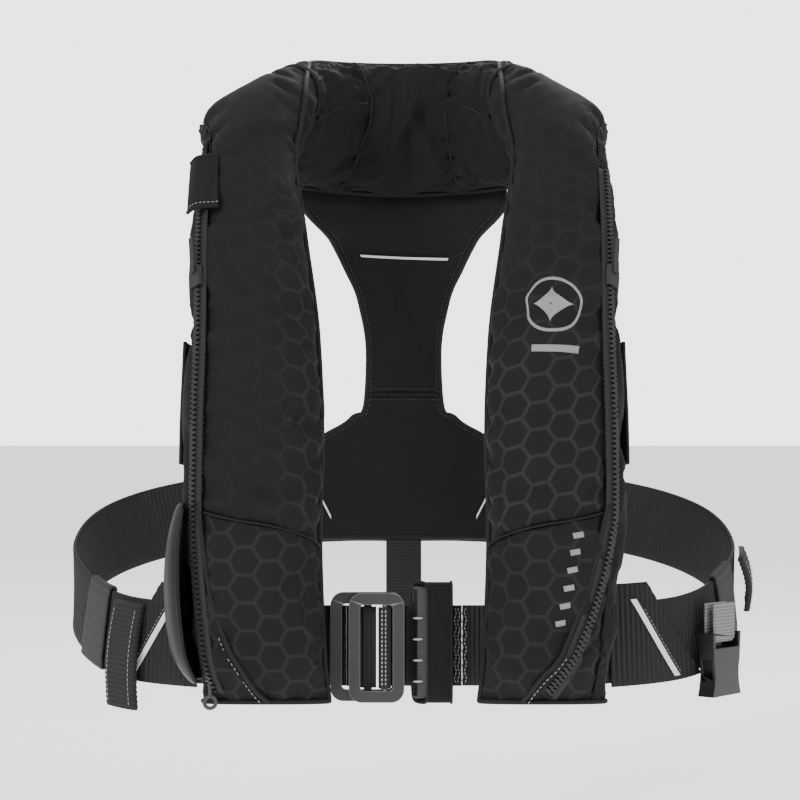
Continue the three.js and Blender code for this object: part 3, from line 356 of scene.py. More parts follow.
COVER_CLOTH = cover_cloth()
LINING_CLOTH = plain_cloth("lining_cloth", LINING)
PANEL_CLOTH = plain_cloth("panel_cloth", (0.0035, 0.0035, 0.004), 0.8, 0.9)
BELT_WEBBING = ribbed_webbing("belt_webbing", (0.0058, 0.0058, 0.0062), 3.0)
RIBBED_BAND = ribbed_webbing("ribbed_band", (0.0055, 0.0055, 0.006), 3.4, relief=0.9)
NARROW_WEBBING = ribbed_webbing("narrow_webbing", (0.0065, 0.0065, 0.007), 2.2, edge=12.5)
GREY_WEBBING = ribbed_webbing("grey_webbing", (0.12, 0.12, 0.125), 2.1, edge=12.0, light=1.9)
ELASTIC = woven_elastic("elastic", (0.02, 0.02, 0.021))
PAD_LINING = woven_elastic("pad_lining", (0.03, 0.03, 0.032))
REFLECTIVE = reflective_tape("reflective")
LIGHT_THREAD = thread("light_thread", (0.36, 0.36, 0.35))
DARK_THREAD = thread("dark_thread", (0.03, 0.03, 0.03))
PIPING = plain_cloth("piping", (0.0045, 0.0045, 0.005), 0.7, 0.5)
print("cloth finishes:", len(bpy.data.materials))

# %% [markdown]
# Hard parts come next. Moulded plastic is a fine-grained gloss with a few worn, duller places. The alloy
# is bead-blasted and anodised, so it is grey and satin; its edges are smoother and carry a painted
# highlight.

# %% Hard finishes
def moulded_plastic(name, colour, rough=0.3, grain=0.05, gloss=0.35):
    part = Finish(name, Specular_IOR_Level=gloss, Coat_Weight=0.06, Coat_Roughness=0.2)
    place = part.place()
    cloudy = part.noise(place, 60.0, 3.0)
    pores = part.noise(place, 1800.0, 2.0)
    part.feed("Base Color", part.blend(cloudy, colour, tuple(c * 1.35 for c in colour)))
    part.feed("Roughness", rough + cloudy * 0.12 + pores * 0.05)
    part.bump(pores, grain, 0.5)
    return part.material


def blasted_alloy(name, colour):
    part = Finish(name, metal=0.85)
    place = part.place()
    grain = part.noise(place, 1500.0, 3.0)
    cloudy = part.noise(place, 35.0, 3.0)
    edge = part.attribute("painted_edge_highlight")
    satin = part.blend(cloudy * 0.6 + grain * 0.25, colour, tuple(c * 1.35 for c in colour))
    # The lighter grey blended in along the edges is a painted highlight.
    part.feed("Base Color", part.blend(edge, satin, (0.3, 0.305, 0.31)))
    part.feed("Roughness", 0.47 + grain * 0.12 - edge * 0.22)
    part.bump(grain, 0.05, 0.5)
    return part.material


def bright_steel(name):
    part = Finish(name, metal=1.0)
    place = part.place()
    brushed = part.noise(part.node("ShaderNodeMapping", {}, place, None, None, (1.0, 1.0, 0.03)), 900.0, 2.0)
    part.feed("Base Color", part.blend(brushed, (0.42, 0.43, 0.44), (0.6, 0.61, 0.62)))
    part.feed("Roughness", 0.25 + brushed * 0.2)
    part.bump(brushed, 0.03, 0.4)
    return part.material


GLOSS_BLACK = moulded_plastic("gloss_black", (0.005, 0.005, 0.0055), 0.26)
GUARD_PLASTIC = moulded_plastic("guard_plastic", (0.003, 0.003, 0.0035), 0.36, 0.12, gloss=0.18)
ZIP_PLASTIC = moulded_plastic("zip_plastic", (0.006, 0.006, 0.0065), 0.42)
MARK_PRINT = plain_cloth("mark_print", (0.16, 0.16, 0.155), 0.6, 0.6)
SIGNAL_RED = moulded_plastic("signal_red", (0.45, 0.02, 0.015), 0.35)
LENS_PLASTIC = moulded_plastic("lens_plastic", (0.6, 0.64, 0.6), 0.15)
ALLOY = blasted_alloy("alloy", (0.04, 0.041, 0.043))
STEEL = bright_steel("steel")
BLADDER_CLOTH = plain_cloth("bladder_cloth", (0.62, 0.5, 0.03), 0.55, 0.8)
print("finishes in all:", len(bpy.data.materials))

# %% [markdown]
# ## The shape of the roll
# The jacket is one long flattened roll, bent like a horseshoe: up one lobe, round the nape and down the
# other. A list of stations gives its centre, width, thickness and lean, and a smooth curve runs through
# them. Any point of the cloth is then found from three numbers: the station along the roll, the turn
# round it in degrees, and the lift off its skin. That is why seams, stitches and zips made later fit.

# %% Stations of the roll
LOBE_STATIONS = [  # centre across, forward and down, half width, half thickness, lean in degrees
    (-83.6, -132.0, -349.0, 38.6, 6.5, 0),
    (-87.4, -132.0, -319.3, 39.4, 22.5, 0),
    (-91.7, -126.7, -251.3, 40.7, 23.9, 0),
    (-91.5, -117.5, -188.5, 41.5, 23.0, 0),
    (-92.4, -104.3, -125.6, 39.4, 22.5, 0),
    (-96.9, -80.5, -62.8, 34.9, 22.5, 2),
    (-98.9, -44.9, -10.5, 29.9, 22.1, 14),
    (-92.0, -5.0, 15.1, 37.8, 22.0, 38),
    (-73.7, 34.6, 21.0, 42.3, 21.2, 66),
    (-41.6, 62.6, 21.4, 44.1, 20.0, 84),
    (0.0, 72.0, 21.0, 45.0, 20.0, 90),
]
MIDDLE = len(LOBE_STATIONS) - 1
LAST = 2 * MIDDLE
LEVEL_UNTIL = 1.5
SQUARENESS = 0.82


def mirror_station(station):
    x, y, z, half_width, half_thickness, lean = station
    return (-x, y, z, half_width, half_thickness, 180 - lean)


ROLL = np.array(LOBE_STATIONS + [mirror_station(s) for s in LOBE_STATIONS[-2::-1]], float)
LEAN = np.radians(ROLL[:, 5])
ROLL_PATH = ROLL[:, :3]
ROLL_SIZE = np.stack([ROLL[:, 3], ROLL[:, 4], 0 * LEAN], 1)
ROLL_WIDTHWAY = np.stack([np.cos(LEAN), 0 * LEAN, np.sin(LEAN)], 1)


def through(points, share):
    """A centripetal Catmull-Rom curve through points, read at shares from 0 to 1."""
    points = np.asarray(points, float)
    share = np.clip(np.asarray(share, float), 0, 1)
    place = share * (len(points) - 1)
    first = np.minimum(place.astype(int), len(points) - 2)
    t = (place - first)[..., None]
    ends = np.vstack([2 * points[0] - points[1], points, 2 * points[-1] - points[-2]])
    p0, p1, p2, p3 = (ends[first + i] for i in range(4))
    gaps = [np.maximum(np.sum((b - a) ** 2, -1, keepdims=True), 1e-12) ** 0.25
            for a, b in ((p0, p1), (p1, p2), (p2, p3))]
    d0, d1, d2 = gaps
    start = ((p1 - p0) / d0 - (p2 - p0) / (d0 + d1) + (p2 - p1) / d1) * d1
    end = ((p2 - p1) / d1 - (p3 - p1) / (d1 + d2) + (p3 - p2) / d2) * d1
    return (p1 + start * t + (-3 * p1 + 3 * p2 - 2 * start - end) * t ** 2
            + (2 * p1 - 2 * p2 + start + end) * t ** 3)


def unit(v):
    return v / np.maximum(np.linalg.norm(v, axis=-1, keepdims=True), 1e-12)


def smooth(share):
    s = np.clip(share, 0, 1)
    return s * s * (3 - 2 * s)


def mix(a, b, share):
    return a + (b - a) * share


def roll_frame(station):
    """Centre, along, inward, outward, half width and half thickness of the roll, in millimetres."""
    share = np.asarray(station, float) / LAST
    step = 1e-4
    along = unit(through(ROLL_PATH, share + step) - through(ROLL_PATH, share - step))
    inward = through(ROLL_WIDTHWAY, share)
    from_hem = np.minimum(share * LAST, LAST - share * LAST)
    square = smooth((from_hem - LEVEL_UNTIL) / 2)[..., None]
    inward = unit(inward - along * np.sum(inward * along, -1, keepdims=True) * square)
    outward = unit(np.cross(inward, along))
    size = through(ROLL_SIZE, share)
    return through(ROLL_PATH, share), along, inward, outward, size[..., 0], size[..., 1]


def shoulder_fullness(station, turn):
    """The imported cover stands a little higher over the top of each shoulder, in millimetres."""
    from_hem = np.minimum(station, LAST - station)
    return 6.5 * np.exp(-((from_hem - 6.85) / 0.5) ** 2) * np.exp(-((turn - 55) / 60.0) ** 2)


def on_roll(station, turn, lift=0.0, squareness=SQUARENESS):
    """Points on the roll's skin, lifted off it, in metres. turn is 0 at the outer edge, 90 on the face
    away from the wearer, 180 at the inner edge and 270 on the wearer's side."""
    station, turn, lift = np.broadcast_arrays(station, turn, lift)
    lift = lift + shoulder_fullness(station, (turn + 180) % 360 - 180)
    centre, _, inward, outward, half_width, half_thickness = roll_frame(station)
    angle = np.radians(turn)
    c, s = -np.cos(angle), np.sin(angle)
    across = np.sign(c) * np.abs(c) ** squareness * (half_width + lift)
    out = np.sign(s) * np.abs(s) ** squareness * (half_thickness + lift)
    return (centre + inward * across[..., None] + outward * out[..., None]) * MM


for station in (0, 3, 7, MIDDLE):
    print("station", station, "front of the roll:", np.round(on_roll(station, 90), 3))

# %% [markdown]
# A sheet of cloth is a grid of points, and this helper turns such a grid into an object. It also writes
# the UV map that the weave and the honeycomb are drawn on: the true distance along and across the cloth,
# in metres, so that no pattern is ever stretched.

# %% Grids and pieces
def finish_piece(obj, material, body, stands_for=(), smooth_shade=True):
    obj.data.materials.clear()
    obj.data.materials.append(material)
    if smooth_shade:
        obj.data.shade_smooth()
    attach(obj, body)
    if stands_for:
        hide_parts(*stands_for)
    return obj


def new_object(name, verts, faces):
    mesh = bpy.data.meshes.new(name)
    mesh.from_pydata([tuple(v) for v in verts], [], faces)
    mesh.validate()
    obj = bpy.data.objects.new(name, mesh)
    bpy.context.collection.objects.link(obj)
    return obj


def grid_faces(rows, columns, wrap=False):
    last = columns if wrap else columns - 1
    return [(i * columns + j, i * columns + (j + 1) % columns,
             (i + 1) * columns + (j + 1) % columns, (i + 1) * columns + j)
            for i in range(rows - 1) for j in range(last)]


def write_uv(obj, uv):
    layer = obj.data.uv_layers.new(name="UVMap")
    corners = np.empty(len(obj.data.loops), int)
    obj.data.loops.foreach_get("vertex_index", corners)
    layer.data.foreach_set("uv", np.asarray(uv, np.float32)[corners].ravel())


def write_attribute(obj, name, values):
    attribute = obj.data.attributes.new(name, "FLOAT", "POINT")
    attribute.data.foreach_set("value", np.asarray(values, np.float32).ravel())


def lengths(points, axis):
    """Distance run along one axis of a grid of points, from its first row or column."""
    steps = np.linalg.norm(np.diff(points, axis=axis), axis=-1)
    run = np.cumsum(steps, axis=axis)
    return np.insert(run, 0, 0, axis=axis)


def cloth_grid(name, points, thickness=0.0, uv=None):
    """An object from a grid of points, thickened inwards by thickness metres."""
    rows, columns = points.shape[:2]
    obj = new_object(name, points.reshape(-1, 3), grid_faces(rows, columns))
    if uv is None:
        along = lengths(points, 0)
        across = lengths(points, 1)
        across = across - across[:, -1:] / 2
        uv = np.stack([along - along.mean(), across], -1)
    write_uv(obj, uv.reshape(-1, 2))
    if thickness:
        wall = obj.modifiers.new("wall", "SOLIDIFY")
        wall.thickness = thickness
        wall.offset = -1
    return obj


def faces_point_out(obj, inside):
    """Turns the faces round if they look towards the point inside."""
    mesh = obj.data
    face = mesh.polygons[len(mesh.polygons) // 2]
    if face.normal.dot(face.center - Vector(inside)) < 0:
        mesh.flip_normals()


print("grid helpers ready")

# %% [markdown]
# ## The filled roll
# Before any panel is cut, the whole roll is settled once as cloth. A closed tube of the roll's shape is
# pinned along its seams, cut a little too large, and blown up from inside, so the spare cloth buckles
# between the seams as a packed cover's does. Only the height that it gains is kept, and every panel adds it.

# %% Seams of the roll
ZIP_TURN, ZIP_TOP = 37.0, 5.6
LOWER_SEAM_OUTER, LOWER_SEAM_INNER = 2.36, 1.92
COLLAR_START = 7.55
LOBE_INSIDE = {"right": (-0.092, -0.1, -0.18), "left": (0.092, -0.1, -0.18)}


def on_side(side, station):
    return station if side == "right" else LAST - station


def lower_seam(turn):
    return mix(LOWER_SEAM_OUTER, LOWER_SEAM_INNER, turn / 180)


COLLAR_SEAM = 1.02
SEAMS = (COLLAR_START, MIDDLE - COLLAR_SEAM, MIDDLE + COLLAR_SEAM, LAST - COLLAR_START)
SEAM_HEIGHTS = (0, 0.26, 0.5, 0.93, 1)  # shares of the way down, and how far each seam bows there
SEAM_BENDS = {1: (0.17, 0.37, 0.33, -0.08, -0.1), 2: (0.17, -0.15, -0.15, -0.01, 0.0)}


def height_share(turn):
    """How far down the collar's neck side a turn is: 0 at the top edge, 1 at the bottom edge."""
    c = np.cos(np.radians(turn))
    return (1 + np.sign(c) * np.abs(c) ** 0.7) / 2


def seam_at(index, turn):
    """The station of a collar seam at a turn; the two seams beside the nape bow."""
    if index not in SEAM_BENDS:
        return SEAMS[index] + 0.0 * turn
    return SEAMS[index] + np.interp(height_share(turn), SEAM_HEIGHTS, SEAM_BENDS[index])


# %% Settled cloth
ROLL_ROWS, ROLL_COLUMNS = 200, 64
SPARE_CLOTH = 0.07  # the share by which the cloth is cut too large
PRESSURE = 4
SETTLING_FRAMES = 20
MOST_LIFT = 2.4  # the settled height is eased off towards this, in millimetres


def outward_normals(obj):
    shape = bmesh.new()
    shape.from_mesh(obj.data)
    bmesh.ops.recalc_face_normals(shape, faces=shape.faces)
    shape.to_mesh(obj.data)
    shape.free()


def pinned_share(station, turn):
    """One on a seam and nothing a few millimetres away from it."""
    from_end = np.minimum(station, LAST - station)
    near = np.exp(-((np.abs(turn) - 180) / 7) ** 2) + np.exp(-((turn - ZIP_TURN) / 7) ** 2)
    near = near + np.exp(-((from_end - lower_seam(np.abs(turn))) / 0.06) ** 2) * (turn > ZIP_TURN)
    near = near + np.exp(-(from_end / 0.08) ** 2)
    for index in range(4):
        near = near + np.exp(-((station - seam_at(index, turn)) / 0.07) ** 2)
    return np.clip(near, 0, 1)


def settle_roll():
    station = np.linspace(0, LAST, ROLL_ROWS)[:, None] + np.zeros(ROLL_COLUMNS)
    turn = np.linspace(-180, 180, ROLL_COLUMNS, endpoint=False)[None, :] + 0 * station
    points = on_roll(station, turn)
    out = unit(on_roll(station, turn, 3.0) - on_roll(station, turn, -3.0))
    caps = [tuple(range(ROLL_COLUMNS))[::-1],
            tuple(range((ROLL_ROWS - 1) * ROLL_COLUMNS, ROLL_ROWS * ROLL_COLUMNS))]
    pouch = new_object("settling_roll", points.reshape(-1, 3),
                       grid_faces(ROLL_ROWS, ROLL_COLUMNS, wrap=True) + caps)
    outward_normals(pouch)
    pins = pouch.vertex_groups.new(name="seams")
    for index, weight in enumerate(pinned_share(station, turn).ravel()):
        if weight > 0.02:
            pins.add([index], float(weight), "REPLACE")
    cloth = pouch.modifiers.new("cloth", "CLOTH")
    cloth.settings.quality = 5
    cloth.settings.mass = 0.2
    cloth.settings.tension_stiffness = cloth.settings.compression_stiffness = 12
    cloth.settings.bending_stiffness = 0.25
    cloth.settings.shrink_min = cloth.settings.shrink_max = -SPARE_CLOTH
    cloth.settings.vertex_group_mass = "seams"
    cloth.settings.use_pressure = True
    cloth.settings.uniform_pressure_force = PRESSURE
    cloth.settings.effector_weights.gravity = 0
    cloth.point_cache.frame_start, cloth.point_cache.frame_end = 1, SETTLING_FRAMES
    scene = bpy.context.scene
    for frame_number in range(1, SETTLING_FRAMES + 1):
        scene.frame_set(frame_number)
    settled_mesh = pouch.evaluated_get(bpy.context.evaluated_depsgraph_get()).data
    moved = np.empty(len(settled_mesh.vertices) * 3)
    settled_mesh.vertices.foreach_get("co", moved)
    gain = np.sum((moved.reshape(points.shape) - points) * out, -1) / MM
    mesh = pouch.data
    bpy.data.objects.remove(pouch)
    bpy.data.meshes.remove(mesh)
    scene.frame_set(1)
    print("roll settled:", np.round([gain.min(), gain.mean(), gain.max()], 2), "mm")
    return MOST_LIFT * np.tanh((gain - 0.5 * np.median(gain)) / MOST_LIFT)


ROLL_LIFT = settle_roll()


def settled(station, turn):
    """The settled cloth's lift in millimetres at places on the roll."""
    i = np.clip(station / LAST, 0, 1) * (ROLL_ROWS - 1.001)
    j = (turn + 180) / 360 * ROLL_COLUMNS % ROLL_COLUMNS
    low_i, low_j = i.astype(int), j.astype(int) % ROLL_COLUMNS
    next_j = (low_j + 1) % ROLL_COLUMNS
    first = mix(ROLL_LIFT[low_i, low_j], ROLL_LIFT[low_i, next_j], smooth(j - low_j))
    second = mix(ROLL_LIFT[low_i + 1, low_j], ROLL_LIFT[low_i + 1, next_j], smooth(j - low_j))
    return mix(first, second, smooth(i - low_i))

# %% [markdown]
# ## The lobes' covers
# Each lobe has a front cover in two panels, joined by a slanted seam low down, and a back cover on the
# wearer's side. Real covers are cut flat and filled with a folded bladder, so they bulge between their
# seams and pucker where a seam draws the cloth together. Both are added as a lift off the smooth roll:
# a swell that fades at each seam, and fine creases that run away from the seams and die out.

# %% Puckers
PANELS = {}  # the outer face of each lobe panel, for the marks printed on it
LEAST_LIFT = -1.7  # a panel never sinks further than this, in millimetres, into the roll


def value_noise(seed, *axes):
    """Smooth noise from -1 to 1 as a sum of a few turned waves, the same on every run."""
    rng = random.Random(seed)
    total = 0.0
    for _ in range(6):
        waves = sum(axis * rng.uniform(0.6, 1.6) * rng.choice((-1, 1)) for axis in axes)
        total = total + np.sin(waves + rng.uniform(0, math.tau))
    return total / 4


def creases(seed, along, across, seam_distance, reach, depth):
    """Puckers that run away from a seam: waves along it, deepest at the seam, gone at reach."""
    fade = np.exp(-np.clip(seam_distance, 0, None) / reach)
    folds = value_noise(seed, along * 0.55, across * 0.12)
    breaks = value_noise(seed + 1, along * 0.21, across * 0.05)
    return depth * fade * (folds * breaks)


def lobe_panel(name, side, node, from_station, to_station, turns, swell, seed, print_strength,
               rows=110, columns=70, material=None, wall=1.4):
    v = np.linspace(0, 1, columns)[None, :]
    u = np.linspace(0, 1, rows)[:, None]
    turn = mix(turns[0], turns[1], v) + 0 * u
    low = from_station(turn) if callable(from_station) else from_station + 0 * turn
    high = to_station(turn) if callable(to_station) else to_station + 0 * turn
    station = mix(low, high, u)
    skin = on_roll(on_side(side, station), turn)
    along, across = lengths(skin, 0) / MM, lengths(skin, 1) / MM
    length, width = along[-1:, :], across[:, -1:]
    end_gap = np.minimum(along, length - along)
    side_gap = np.minimum(across, width - across)
    lift = swell * (1 - np.exp(-side_gap / 9)) * (1 - np.exp(-end_gap / 7)) - swell * 0.55
    lift = lift + 0.9 * value_noise(seed, along * 0.035, across * 0.06)
    lift = lift + creases(seed + 10, along, across, side_gap, 7.0, 0.9)
    lift = lift + creases(seed + 20, across, along, end_gap, 7.0, 0.8)
    lift = lift + 0.25 * value_noise(seed + 30, along * 0.16, across * 0.22)
    lift = np.maximum(lift + settled(on_side(side, station), turn), LEAST_LIFT)
    points = on_roll(on_side(side, station), turn, lift)
    PANELS[name] = (points, low[0], high[0], turns)
    centre_across = across - mix(0, width, 0.5)
    uv = np.stack([along, centre_across], -1) * MM
    cloth = cloth_grid(name, points, wall * MM, uv)
    faces_point_out(cloth, LOBE_INSIDE[side])
    write_attribute(cloth, "print", print_strength(station, turn))
    finish_piece(cloth, material or COVER_CLOTH, ROOT, node)
    return cloth


def right_upper_print(station, turn):
    """The honeycomb shows only near the inner edge of the right lobe, and fades towards the zip."""
    return 0.5 * smooth((turn - 92) / 40) * smooth((5.6 - station) / 2 + 0.35) + 0.07


def left_upper_print(station, turn):
    return 0.7 * smooth((4.9 - station) / 2.4 + 0.2) + 0.12


def lower_print(station, turn):
    return 0.55 + 0 * turn


def no_print(station, turn):
    return 0.0 * turn


for side in ("right", "left"):
    seed = 3 if side == "right" else 47
    lobe_panel(f"cover_upper_{side}", side, [f"cover_front_upper_{side}"], lower_seam, COLLAR_START,
               (ZIP_TURN + 5, 179), 3.4, seed, right_upper_print if side == "right" else left_upper_print,
               rows=150)
    lobe_panel(f"cover_lower_{side}", side, [f"cover_front_lower_{side}"], 0.0, lower_seam,
               (ZIP_TURN + 5, 179), 3.0, seed + 5, lower_print, rows=70)
    lobe_panel(f"cover_inside_{side}", side, [f"cover_back_{side}"], 0.0, COLLAR_START,
               (ZIP_TURN - 5, -179), 2.4, seed + 9, no_print, rows=150, columns=60,
               material=LINING_CLOTH)
    lobe_panel(f"cover_edge_{side}", side, [f"cover_shoulder_edge_{side}"], ZIP_TOP, COLLAR_START,
               (ZIP_TURN - 6.4, ZIP_TURN + 6.4), 0.1, seed + 13, no_print, rows=40, columns=8)
    lobe_panel(f"cover_lower_edge_{side}", side, [], 0.0, LOWER_SEAM_OUTER + 0.08,
               (ZIP_TURN - 6.4, ZIP_TURN + 6.4), 0.1, seed + 17, no_print, rows=40, columns=8)
print("lobe covers made")

# %% [markdown]
# ## The collar
# The collar is the part of the roll behind the neck. Its neck side is cut in three panels. The seams
# between them bow towards the middle and are gathered, so short folds fan out from them, and a few broad
# folds cross the nape. The outer side is one smooth panel.

# %% Collar
FAN_DEPTH, FAN_REACH = 5.2, 0.42  # how high the gathered folds stand, and how many stations they reach
NAPE_FOLDS = (  # height, width, and the line of each fold: shares of the way down and stations
    (-2.6, 0.11, (0.0, 0.4, 0.72), (9.86, 9.84, 9.6)),
    (3.0, 0.17, (0.36, 0.6, 0.9), (10.12, 9.86, 9.46)),
    (3.0, 0.17, (0.36, 0.6, 0.85), (10.16, 10.42, 10.76)),
    (2.2, 0.13, (0.0, 0.2, 0.45), (10.3, 10.28, 10.16)),
    (-1.6, 0.1, (0.5, 0.7, 0.95), (10.14, 10.16, 10.12)),
)


def gathers(station, turn, seams, seed):
    """Folds that fan out from each gathered seam, and the nape's broad folds, in millimetres of lift."""
    lift = 0.0 * turn
    for index, seam in enumerate(seams):
        away = np.abs(station - seam)
        fan = turn * 0.16 + (station - seam) * (turn + 90) * 0.05
        folds = 0.5 + 0.5 * value_noise(seed + index, fan * 2.1, away * 2.0)
        lift = lift + np.exp(-away / FAN_REACH) * np.clip(folds, 0, 1.3) * FAN_DEPTH * neck_side(turn)
    down = height_share(turn)
    for height, width, reach, stations in NAPE_FOLDS:
        inside = smooth((down - reach[0]) / 0.1 + 0.5) * smooth((reach[-1] - down) / 0.12 + 0.5)
        fold = np.exp(-((station - np.interp(down, reach, stations)) / width) ** 2)
        lift = lift + height * fold * inside * neck_side(turn)
    return lift


def neck_side(turn):
    """One on the neck side of the collar, falling away at its edges so that the edges stay clean."""
    return smooth((-turn - 4) / 16) * smooth((turn + 176) / 22)


def collar_panel(name, node, low, high, turns, swell, seed, seams, print_of, material,
                 rows=90, columns=60):
    u = np.linspace(0, 1, rows)[:, None]
    v = np.linspace(0, 1, columns)[None, :]
    turn = mix(turns[0], turns[1], v) + 0 * u
    station = mix(low(turn), high(turn), u)
    skin = on_roll(station, turn)
    along, across = lengths(skin, 0) / MM, lengths(skin, 1) / MM
    end_gap = np.minimum(along, along[-1:, :] - along)
    side_gap = np.minimum(across, across[:, -1:] - across)
    lift = swell * (1 - np.exp(-side_gap / 10)) * (1 - np.exp(-end_gap / 9)) - swell * 0.5
    lift = lift + gathers(station, turn, seams, seed)
    lift = lift + 1.1 * np.abs(value_noise(seed + 7, along * 0.05, across * 0.09))
    lift = lift + creases(seed + 8, along, across, side_gap, 9.0, 1.2)
    lift = np.maximum(lift + settled(station, turn), LEAST_LIFT)
    points = on_roll(station, turn, lift)
    uv = np.stack([along, across - across[:, -1:] / 2], -1) * MM
    cloth = cloth_grid(name, points, 1.4 * MM, uv)
    faces_point_out(cloth, tuple(roll_frame(np.array([station.mean()]))[0][0] * MM))
    write_attribute(cloth, "print", print_of(station, turn))
    finish_piece(cloth, material, ROOT, [node])
    return cloth


for index, name in enumerate(("right", "centre", "left")):
    collar_panel(f"collar_gathered_{name}", f"collar_{name}", lambda t: seam_at(index, t) - 0.02,
                 lambda t: seam_at(index + 1, t) + 0.02, (0.5, -180.5), 4.0, 71 + 10 * index,
                 SEAMS[index:index + 2], lambda s, t: 0.05 + 0 * t, COVER_CLOTH)
collar_panel("collar_back", "collar_outer", lambda t: COLLAR_START - 0.03 + 0 * t,
             lambda t: LAST - COLLAR_START + 0.03 + 0 * t, (-0.5, 180.5), 3.0, 121, (),
             lambda s, t: 0.5 + 0 * t, COVER_CLOTH, rows=200)
print("collar made")

# %% [markdown]
# ## Thread, piping and teeth
# Small things that repeat are made by two Geometry Nodes groups: an oval stitch and a block-shaped zip
# tooth. Each group takes a row of points, puts one piece on each, and gives them a material. The rows are
# then baked to plain meshes. Piping and cords are round tubes drawn along a line of points.

# %% Repeated pieces
def repeat_group(name, shape):
    """A node group that puts a stitch or a tooth of a given size on every point, turned by 'turn'."""
    group = bpy.data.node_groups.new(name, "GeometryNodeTree")
    face = group.interface
    face.new_socket("Points", in_out="INPUT", socket_type="NodeSocketGeometry")
    size = face.new_socket("Piece Size", in_out="INPUT", socket_type="NodeSocketVector")
    finish = face.new_socket("Finish", in_out="INPUT", socket_type="NodeSocketMaterial")
    face.new_socket("Geometry", in_out="OUTPUT", socket_type="NodeSocketGeometry")
    nodes, links = group.nodes, group.links
    start, end = nodes.new("NodeGroupInput"), nodes.new("NodeGroupOutput")
    if shape == "oval":
        piece = nodes.new("GeometryNodeMeshIcoSphere")
        piece.inputs["Radius"].default_value = 0.5
        piece.inputs["Subdivisions"].default_value = 2
    else:
        piece = nodes.new("GeometryNodeMeshCube")
        piece.inputs["Size"].default_value = (1, 1, 1)
    turn = nodes.new("GeometryNodeInputNamedAttribute")
    turn.data_type = "FLOAT_VECTOR"
    turn.inputs["Name"].default_value = "turn"
    place = nodes.new("GeometryNodeInstanceOnPoints")
    real = nodes.new("GeometryNodeRealizeInstances")
    paint = nodes.new("GeometryNodeSetMaterial")
    links.new(start.outputs["Points"], place.inputs["Points"])
    links.new(piece.outputs["Mesh"], place.inputs["Instance"])
    links.new(turn.outputs["Attribute"], place.inputs["Rotation"])
    links.new(start.outputs["Piece Size"], place.inputs["Scale"])
    links.new(place.outputs["Instances"], real.inputs["Geometry"])
    links.new(real.outputs["Geometry"], paint.inputs["Geometry"])
    links.new(start.outputs["Finish"], paint.inputs["Material"])
    links.new(paint.outputs["Geometry"], end.inputs["Geometry"])
    return group, size.identifier, finish.identifier


STITCHES = repeat_group("row_of_stitches", "oval")
TEETH = repeat_group("row_of_teeth", "block")


def spaced(points, gap):
    """Points at an even gap along a line of points, with the direction of the line at each."""
    points = np.asarray(points, float)
    run = np.insert(np.cumsum(np.linalg.norm(np.diff(points, axis=0), axis=1)), 0, 0)
    marks = np.arange(gap / 2, run[-1], gap)
    even = np.stack([np.interp(marks, run, points[:, i]) for i in range(3)], 1)
    further = np.minimum(marks + gap / 4, run[-1])
    ahead = np.stack([np.interp(further, run, points[:, i]) for i in range(3)], 1)
    behind = np.stack([np.interp(np.maximum(marks - gap / 4, 0), run, points[:, i]) for i in range(3)], 1)
    return even, unit(ahead - behind)


def turns_of(along, out):
    """Euler turns that lay a piece's X along one direction and its Z out of the surface."""
    out = unit(out - along * np.sum(out * along, -1, keepdims=True))
    side = np.cross(out, along)
    return [Matrix(np.stack([a, b, c], 1).tolist()).to_euler() for a, b, c in zip(along, side, out)]


def row_of(name, group, points, outs, size, material, body):
    """Bakes one row of stitches or teeth. points and outs are arrays, size is in millimetres."""
    tree, size_socket, finish_socket = group
    mesh = bpy.data.meshes.new(name + "_points")
    mesh.from_pydata([tuple(p) for p in points], [], [])
    ends = np.array([tuple(e) for e in turns_of(*outs)], np.float32)
    mesh.attributes.new("turn", "FLOAT_VECTOR", "POINT").data.foreach_set("vector", ends.ravel())
    row = bpy.data.objects.new(name, mesh)
    bpy.context.collection.objects.link(row)
    repeat = row.modifiers.new("repeat", "NODES")
    repeat.node_group = tree
    repeat[size_socket] = [s * MM for s in size]
    repeat[finish_socket] = material
    depsgraph = bpy.context.evaluated_depsgraph_get()
    baked = bpy.data.meshes.new_from_object(row.evaluated_get(depsgraph), depsgraph=depsgraph)
    row.modifiers.clear()
    row.data = baked
    if group is STITCHES:
        baked.shade_smooth()
    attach(row, body)
    return row


def line_on_roll(stations, turns, lift, samples=160, side="right"):
    """A smooth line of points over the skin, with the direction out of the skin at each."""
    share = np.linspace(0, 1, samples)
    picked = through(np.stack([stations, turns, 0 * np.array(stations)], 1), share)
    station, turn = on_side(side, picked[:, 0]), picked[:, 1]
    line = on_roll(station, turn, lift)
    return line, unit(on_roll(station, turn, lift + 5) - on_roll(station, turn, lift - 5))


def stitch_row(name, line, outs, material, gap=3.4, size=(2.5, 0.6, 0.5), body=ROOT):
    points, along = spaced(line, gap * MM)
    nearest = [int(np.argmin(np.sum((line - p) ** 2, 1))) for p in points]
    return row_of(name, STITCHES, points, (along, outs[nearest]), size, material, body)


